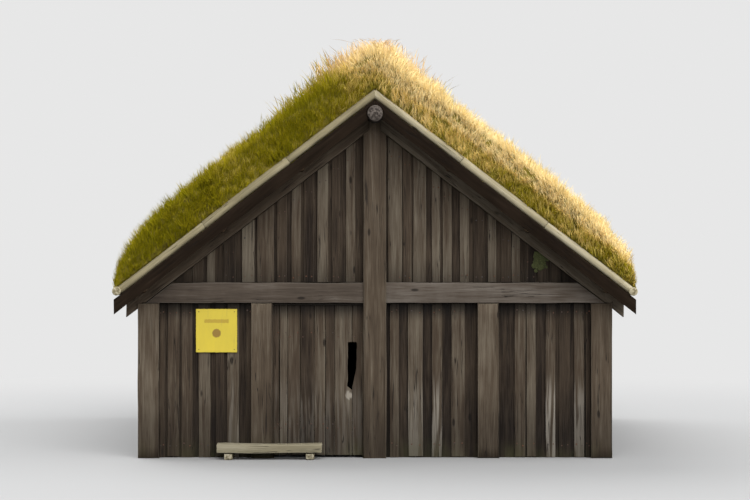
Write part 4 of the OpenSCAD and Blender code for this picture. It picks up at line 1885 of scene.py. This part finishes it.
@dataclass
class Sward:
    """Grass that grows on part of the turf.

    Attributes:
        name: Name of the piece.
        emitter: Mesh of the ground that it grows on.
        tufts: Number of clumps.
        tuft: Sizes of a clump.
        up: Pull of the growth upwards.
        out: Pull of the growth square to the ground.
        stray: Random lean of each clump.
        sway: Lean that neighbouring clumps share.
        gold: Dryness that is added to that of the place.
        scale: Range of the clumps' sizes.
        fade: Distance from the ridge line at which the clumps have thinned out, or 0 for even growth.
        seed: Number that fixes the random draws.
        finish: Finish of the blades.
        kinds: Number of unlike clumps.
        proud: Most that the grass reaches past the CAD box, along X, Y and Z.
        bend: Depth inside that reach from which the blades bend back.
    """

    name: str
    emitter: bpy.types.Mesh
    tufts: int
    tuft: Tuft
    up: float = 0.6
    out: float = 0.6
    stray: float = 0.3
    sway: float = 1.7
    gold: float = 0.14
    scale: tuple[float, float] = (0.8, 1.12)
    fade: float = 0.0
    seed: int = 1
    finish: GrassFinish = GRASS
    kinds: int = 5
    proud: tuple[float, float, float] = (0.02, 0.09, 0.13)
    bend: tuple[float, float, float] = (0.12, 0.1, 0.12)

    def build(self) -> None:
        """Grows the grass and keeps it as one mesh."""
        rng = random.Random(self.name)
        clumps = bpy.data.collections.new(self.name + "_clumps")
        for i in range(self.kinds):
            mesh = self.tuft.mesh(f"{self.name}_clump_{i}", rng)
            clumps.objects.link(bpy.data.objects.new(mesh.name, mesh))
        ground = in_scene(self.name + "_ground", self.emitter)
        area = sum(polygon.area for polygon in self.emitter.polygons)
        growth = ground.modifiers.new("growth", "NODES")
        growth.node_group = self.tree(clumps, self.tufts / area)
        bpy.context.view_layer.update()
        graph = bpy.context.evaluated_depsgraph_get()
        mesh = bpy.data.meshes.new_from_object(ground.evaluated_get(graph), preserve_all_data_layers=True,
                                               depsgraph=graph)
        mesh.name = self.name
        bpy.data.objects.remove(ground)
        for clump in list(clumps.objects):
            bpy.data.objects.remove(clump)
        bpy.data.collections.remove(clumps)
        bpy.data.node_groups.remove(bpy.data.node_groups[self.name + "_growth"])
        self.hold_in(mesh)
        show(mesh, self.finish)

    def hold_in(self, mesh: bpy.types.Mesh) -> None:
        """Bends back the blades that lean out past the eaves, the verges or over the crest.

        Args:
            mesh: Mesh of the grass, in place.
        """
        places = np.empty(3 * len(mesh.vertices), np.float32)
        mesh.vertices.foreach_get("co", places)
        places = places.reshape(-1, 3)
        for axis, (proud, bend) in enumerate(zip(self.proud, self.bend)):
            limit = cad_box[1][axis] + proud - bend
            past = np.maximum(np.abs(places[:, axis]) - limit, 0.0)
            held = limit + bend * np.tanh(past / bend)
            places[:, axis] = np.where(past > 0.0, np.sign(places[:, axis]) * held, places[:, axis])
        mesh.vertices.foreach_set("co", places.ravel())
        mesh.update()

    def tree(self, clumps: bpy.types.Collection, density: float) -> bpy.types.NodeTree:
        """Builds the nodes that scatter the clumps and make them real.

        Args:
            clumps: Collection of the clumps.
            density: Clumps in a square metre.

        Returns:
            The node tree.
        """
        tree = bpy.data.node_groups.new(self.name + "_growth", "GeometryNodeTree")
        for direction in ("INPUT", "OUTPUT"):
            tree.interface.new_socket("Geometry", in_out=direction, socket_type="NodeSocketGeometry")

        g = Nodes(tree)

        def chance(low: float, high: float, offset: int) -> Socket:
            """Returns a random number for each clump."""
            limits = {2: low, 3: high, 8: self.seed + offset}
            return g.node("FunctionNodeRandomValue", limits, data_type="FLOAT").outputs[1]

        def scaled(vector: Socket, factor: float) -> Socket:
            """Returns a vector times a number."""
            return g.node("VectorMath", {0: vector, "Scale": factor}, operation="SCALE").outputs[0]

        position = g.node("GeometryNodeInputPosition").outputs[0]
        if self.fade:
            thinning = {"Value": g.math("ABSOLUTE", g.axes(position)["X"]), "From Min": 0.15 * self.fade,
                        "From Max": self.fade, "To Min": 2.0 * density, "To Max": 0.0}
            density = g.node("MapRange", thinning).outputs[0]
        ground = {"Mesh": g.node("NodeGroupInput").outputs[0], "Density": density, "Seed": self.seed}
        scatter = g.node("GeometryNodeDistributePointsOnFaces", ground).outputs
        lifted = g.arrows("ADD", scaled(scatter["Normal"], self.out), (0.0, 0.0, self.up))
        limits = {0: (-self.stray,) * 3, 1: (self.stray,) * 3, 8: self.seed + 1}
        lean = g.node("FunctionNodeRandomValue", limits, data_type="FLOAT_VECTOR").outputs[0]
        wind = g.node("TexNoise", {"Vector": position, "Scale": 1.3, "Detail": 2.0}).outputs["Color"]
        gust = scaled(g.arrows("SUBTRACT", wind, (0.5, 0.5, 0.5)), self.sway)
        aim = g.arrows("ADD", lifted, g.arrows("ADD", lean, gust))
        stand = g.node("FunctionNodeAlignRotationToVector", {"Vector": aim}, axis="Z").outputs[0]
        spin = g.node("FunctionNodeAxisAngleToRotation",
                      {"Axis": Z_AXIS, "Angle": chance(0.0, 2 * math.pi, 2)}).outputs[0]
        turned = g.node("FunctionNodeRotateRotation", {0: stand, 1: spin},
                        rotation_space="LOCAL").outputs[0]
        wave = g.node("TexNoise", {"Vector": position, "Scale": 2.4, "Detail": 2.0}).outputs[0]
        tussock = g.plus(g.times(wave, 1.8), 0.1)
        pool = g.node("GeometryNodeCollectionInfo", {"Collection": clumps, "Separate Children": True})
        kept = g.node("GeometryNodeInstanceOnPoints", {
            "Points": scatter["Points"], "Instance": pool.outputs[0], "Pick Instance": True,
            "Rotation": turned, "Scale": g.times(chance(*self.scale, 3), tussock)}).outputs[0]
        for name, value in (("tone", chance(0.0, 1.0, 4)), ("gold", self.gold)):
            labelled = {"Geometry": kept, "Name": name, "Value": value}
            kept = g.node("GeometryNodeStoreNamedAttribute", labelled, data_type="FLOAT",
                          domain="INSTANCE").outputs[0]
        g.node("NodeGroupOutput", {0: g.node("GeometryNodeRealizeInstances", {0: kept}).outputs[0]})
        return tree


@dataclass(frozen=True)
class TurfRoof:
    """Matted turf on both slopes and the grass that stands on it.

    Attributes:
        stand_height: Depth of the turf's top under the CAD turf, which the grass fills.
        held_below: Height over the roof boards up to which the turf keeps its CAD shape.
        verge_in: Depth of the turf's ends behind those of the CAD turf.
        verge_depth: Distance from an end over which that depth fades.
        cell: Size of the faces that the hummocks bend.
        hummock: Height of the hummocks.
        slope_tufts: Clumps of grass on half a slope.
        verge_tufts: Clumps of grass on a verge.
        left_stalks: Clumps of seed stalks on the left slope, their reach from the ridge and their seed.
        right_stalks: The same for the right slope.
    """

    stand_height: float = 0.12
    held_below: float = 0.1
    verge_in: float = 0.045
    verge_depth: float = 0.2
    cell: float = 0.16
    hummock: float = 0.045
    slope_tufts: int = 4150
    verge_tufts: int = 1300
    left_stalks: tuple[int, float, int] = (620, 1.5, 73)
    right_stalks: tuple[int, float, int] = (260, 0.9, 71)

    def build(self) -> None:
        """Builds the turf and grows its grass."""
        for side in Side:
            self.grow(side, self.core(side))

    def core(self, side: Side) -> bpy.types.Mesh:
        """Builds the matted turf of one slope inside the room that the CAD turf takes.

        Args:
            side: Slope that it covers.

        Returns:
            The mesh of the piece.
        """
        node = side.name.lower() + "_turf"
        shape = solids(node)[0]
        low, high = box_of(shape)
        for axis in (X_AXIS, Y_AXIS):
            section(shape, axis, self.cell)
        top = ROOF.over(Vector((0.5, 0.0, max(v.co.z for v in shape.verts if abs(v.co.x) < 0.6))))
        for vert in shape.verts:
            over = ROOF.over(vert.co)
            share = max(0.0, over - self.held_below) / (top - self.held_below)
            bulge = noise.noise(vert.co * 2.2) + 0.5 * noise.noise(vert.co * 5.1)
            at_ridge = abs(vert.co.x) < 0.001
            vert.co += ROOF.out(side) * share * (self.hummock * bulge - self.stand_height)
            vert.co.x = 0.0 if at_ridge else side.value * max(0.0, side.value * vert.co.x)
            end = 1.0 if vert.co.y > 0 else -1.0
            from_end = abs(high.y) - abs(vert.co.y)
            if from_end < self.verge_depth and over > self.held_below:
                vert.co.y -= end * (self.verge_in + 0.03 * bulge) * (1.0 - from_end / self.verge_depth)
        mesh = as_mesh(shape, "matted_" + node, 40.0)
        show(mesh, SOD, HOUSE, [node])
        return mesh

    @staticmethod
    def ground(core: bpy.types.Mesh, wanted: Callable[[Vector, Vector], bool]) -> bpy.types.Mesh:
        """Picks the faces of the turf that a sward grows on.

        Args:
            core: Turf of one slope.
            wanted: Test of a face's middle and normal.

        Returns:
            A mesh of those faces.
        """
        shape = bmesh.new()
        shape.from_mesh(core)
        shape.normal_update()
        others = [f for f in shape.faces if not wanted(f.calc_center_median(), f.normal)]
        bmesh.ops.delete(shape, geom=others, context="FACES")
        return as_mesh(shape, "ground")

    def grow(self, side: Side, core: bpy.types.Mesh) -> None:
        """Grows the grass of one slope, in two halves, and of its two verges.

        Args:
            side: Slope that it grows on.
            core: Turf of that slope.
        """
        name = side.name.lower()
        right = side is Side.RIGHT

        def on_top(middle: Vector, normal: Vector) -> bool:
            """Tells whether a face is part of the upper surface."""
            faces_over = abs(middle.x) < 0.03 and abs(normal.x) > 0.8
            return ROOF.over(middle) > 0.03 and abs(normal.y) < 0.6 and normal.z > -0.2 and not faces_over

        for number, end in enumerate(End):
            seed = 10 * number + (3 if right else 5)
            half = self.ground(core, lambda at, normal: on_top(at, normal) and at.y * end.value > 0)
            Sward(f"{name}_slope_grass_{end.name.lower()}", half, self.slope_tufts, Tuft(), up=0.55,
                  out=0.65, seed=seed).build()
            rim = self.ground(core, lambda at, normal: normal.y * end.value > 0.6 and ROOF.over(at) > 0.05)
            Sward(f"{name}_verge_grass_{end.name.lower()}", rim, self.verge_tufts,
                  Tuft(length=0.15, width=0.007), up=0.8, out=0.42, stray=0.32, sway=0.8, gold=0.12,
                  scale=(0.7, 1.1), seed=40 + seed).build()
        clumps, reach, seed = self.right_stalks if right else self.left_stalks
        crest = self.ground(core, lambda at, normal: on_top(at, normal) and abs(at.x) < reach)
        stalks = Tuft(blades=9, spread=0.06, length=0.34, width=0.0065, droop=0.45, head=1.6)
        Sward(name + "_crest_stalks", crest, clumps, stalks, up=0.9, out=0.3, stray=0.35, sway=0.6,
              gold=0.22, fade=reach, seed=seed, finish=STALKS).build()


@dataclass(frozen=True)
class Studio:
    """Pale floor, soft light from above and the camera.

    Attributes:
        distance: Distance of the camera from the front wall.
        eye: Height of the camera.
        lens: Focal length in millimetres.
        floor_radius: Radius of the floor.
        floor_tone: Colour of the floor.
        ground_tone: Colour that the floor throws back on the house.
        backdrop: Brightness of the backdrop, which the floor takes far from the house.
        fade: Distances between which the floor turns into the backdrop.
        sky: Colour of the light from all round.
        zenith: Strength of the light from straight above.
        horizon: Strength of the light from low down.
        lamp_far: Distance of the lamps, which changes nothing in their light.
    """

    distance: float = 28.0
    eye: float = 2.5
    lens: float = 112.0
    floor_radius: float = 90.0
    floor_tone: float = 0.42
    ground_tone: float = 0.16
    backdrop: float = 0.8
    fade: tuple[float, float] = (6.0, 16.0)
    sky: Rgb = (0.97, 0.985, 1.0)
    zenith: float = 0.85
    horizon: float = 0.3
    lamp_far: float = 20.0

    def build(self) -> None:
        """Builds the floor, the light and the camera."""
        self.floor()
        self.world()
        self.lamp("front_light", (0.22, -0.8, 0.56), softness=60.0, strength=2.7)
        self.lamp("side_light", (0.92, 0.12, 0.38), softness=40.0, strength=1.3)
        self.lamp("rear_light", (-0.45, 0.6, 0.66), softness=55.0, strength=1.9)
        camera = bpy.data.cameras.new("camera")
        camera.lens = self.lens
        camera.sensor_width = 36.0
        camera.clip_end = 400.0
        eye = in_scene("camera", camera)
        eye.location = (0.0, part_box("front_centre_post")[0].y - self.distance, self.eye)
        eye.rotation_euler = (math.radians(90.0), 0.0, 0.0)
        bpy.context.scene.camera = eye
        bpy.context.scene.view_settings.view_transform = "Standard"

    def floor(self) -> None:
        """Builds the floor, a wide disc that fades into the backdrop."""
        disc = bmesh.new()
        bmesh.ops.create_circle(disc, cap_ends=True, segments=96, radius=self.floor_radius)
        floor = in_scene("floor", as_mesh(disc, "floor"))
        g = Graph("floor_finish")
        seen = g.seen()
        tone = g.mix(seen, (self.ground_tone,) * 3, (self.floor_tone,) * 3)
        g.done(Base_Color=tone, Roughness=0.9, Specular_IOR_Level=0.1)
        glow = g.node("Emission", {"Color": WHITE, "Strength": self.backdrop}).outputs[0]
        far = g.span(g.length(g.place()), *self.fade)
        g.surface("Material Output", g.shader.outputs[0], glow, g.times(far, seen))
        floor.data.materials.append(g.material)

    def world(self) -> None:
        """Lights the house from all round, most from above, before a plain pale backdrop."""
        world = bpy.data.worlds.new("sky")
        world.use_nodes = True
        bpy.context.scene.world = world
        g = Nodes(world.node_tree)
        up = g.axes(g.node("TexCoord").outputs["Generated"])["Z"]
        climb = g.node("MapRange", {"Value": up, "To Min": self.horizon, "To Max": self.zenith}).outputs[0]
        sky, backdrop = (g.node("Background", {"Color": colour, "Strength": strength}).outputs[0]
                         for colour, strength in ((self.sky, climb), (WHITE, self.backdrop)))
        g.surface("World Output", sky, backdrop, g.seen())

    def lamp(self, name: str, source: Sequence[float], softness: float, strength: float) -> None:
        """Adds a lamp so wide and far off that it lights the whole floor evenly.

        Args:
            name: Name of the lamp.
            source: Direction in which it stands.
            softness: Width of its face as an angle in degrees.
            strength: Power in watts for each square metre.
        """
        light = bpy.data.lights.new(name, "SUN")
        light.angle = math.radians(softness)
        light.energy = strength
        lamp = in_scene(name, light)
        lamp.location = Vector(source) * self.lamp_far
        lamp.rotation_euler = Vector(source).to_track_quat("Z", "Y").to_euler()


def main() -> None:
    """Builds the house from the ground up, then the light and the camera."""
    logging.basicConfig(level=logging.INFO, format="%(name)s: %(message)s")
    for part in (TimberFrame(), Walls(), MossPatch(), Doorway(), SignAndStep(), RoofTimbers(), TurfRoof(),
                 Studio()):
        part.build()


if __name__ == "__main__":
    main()
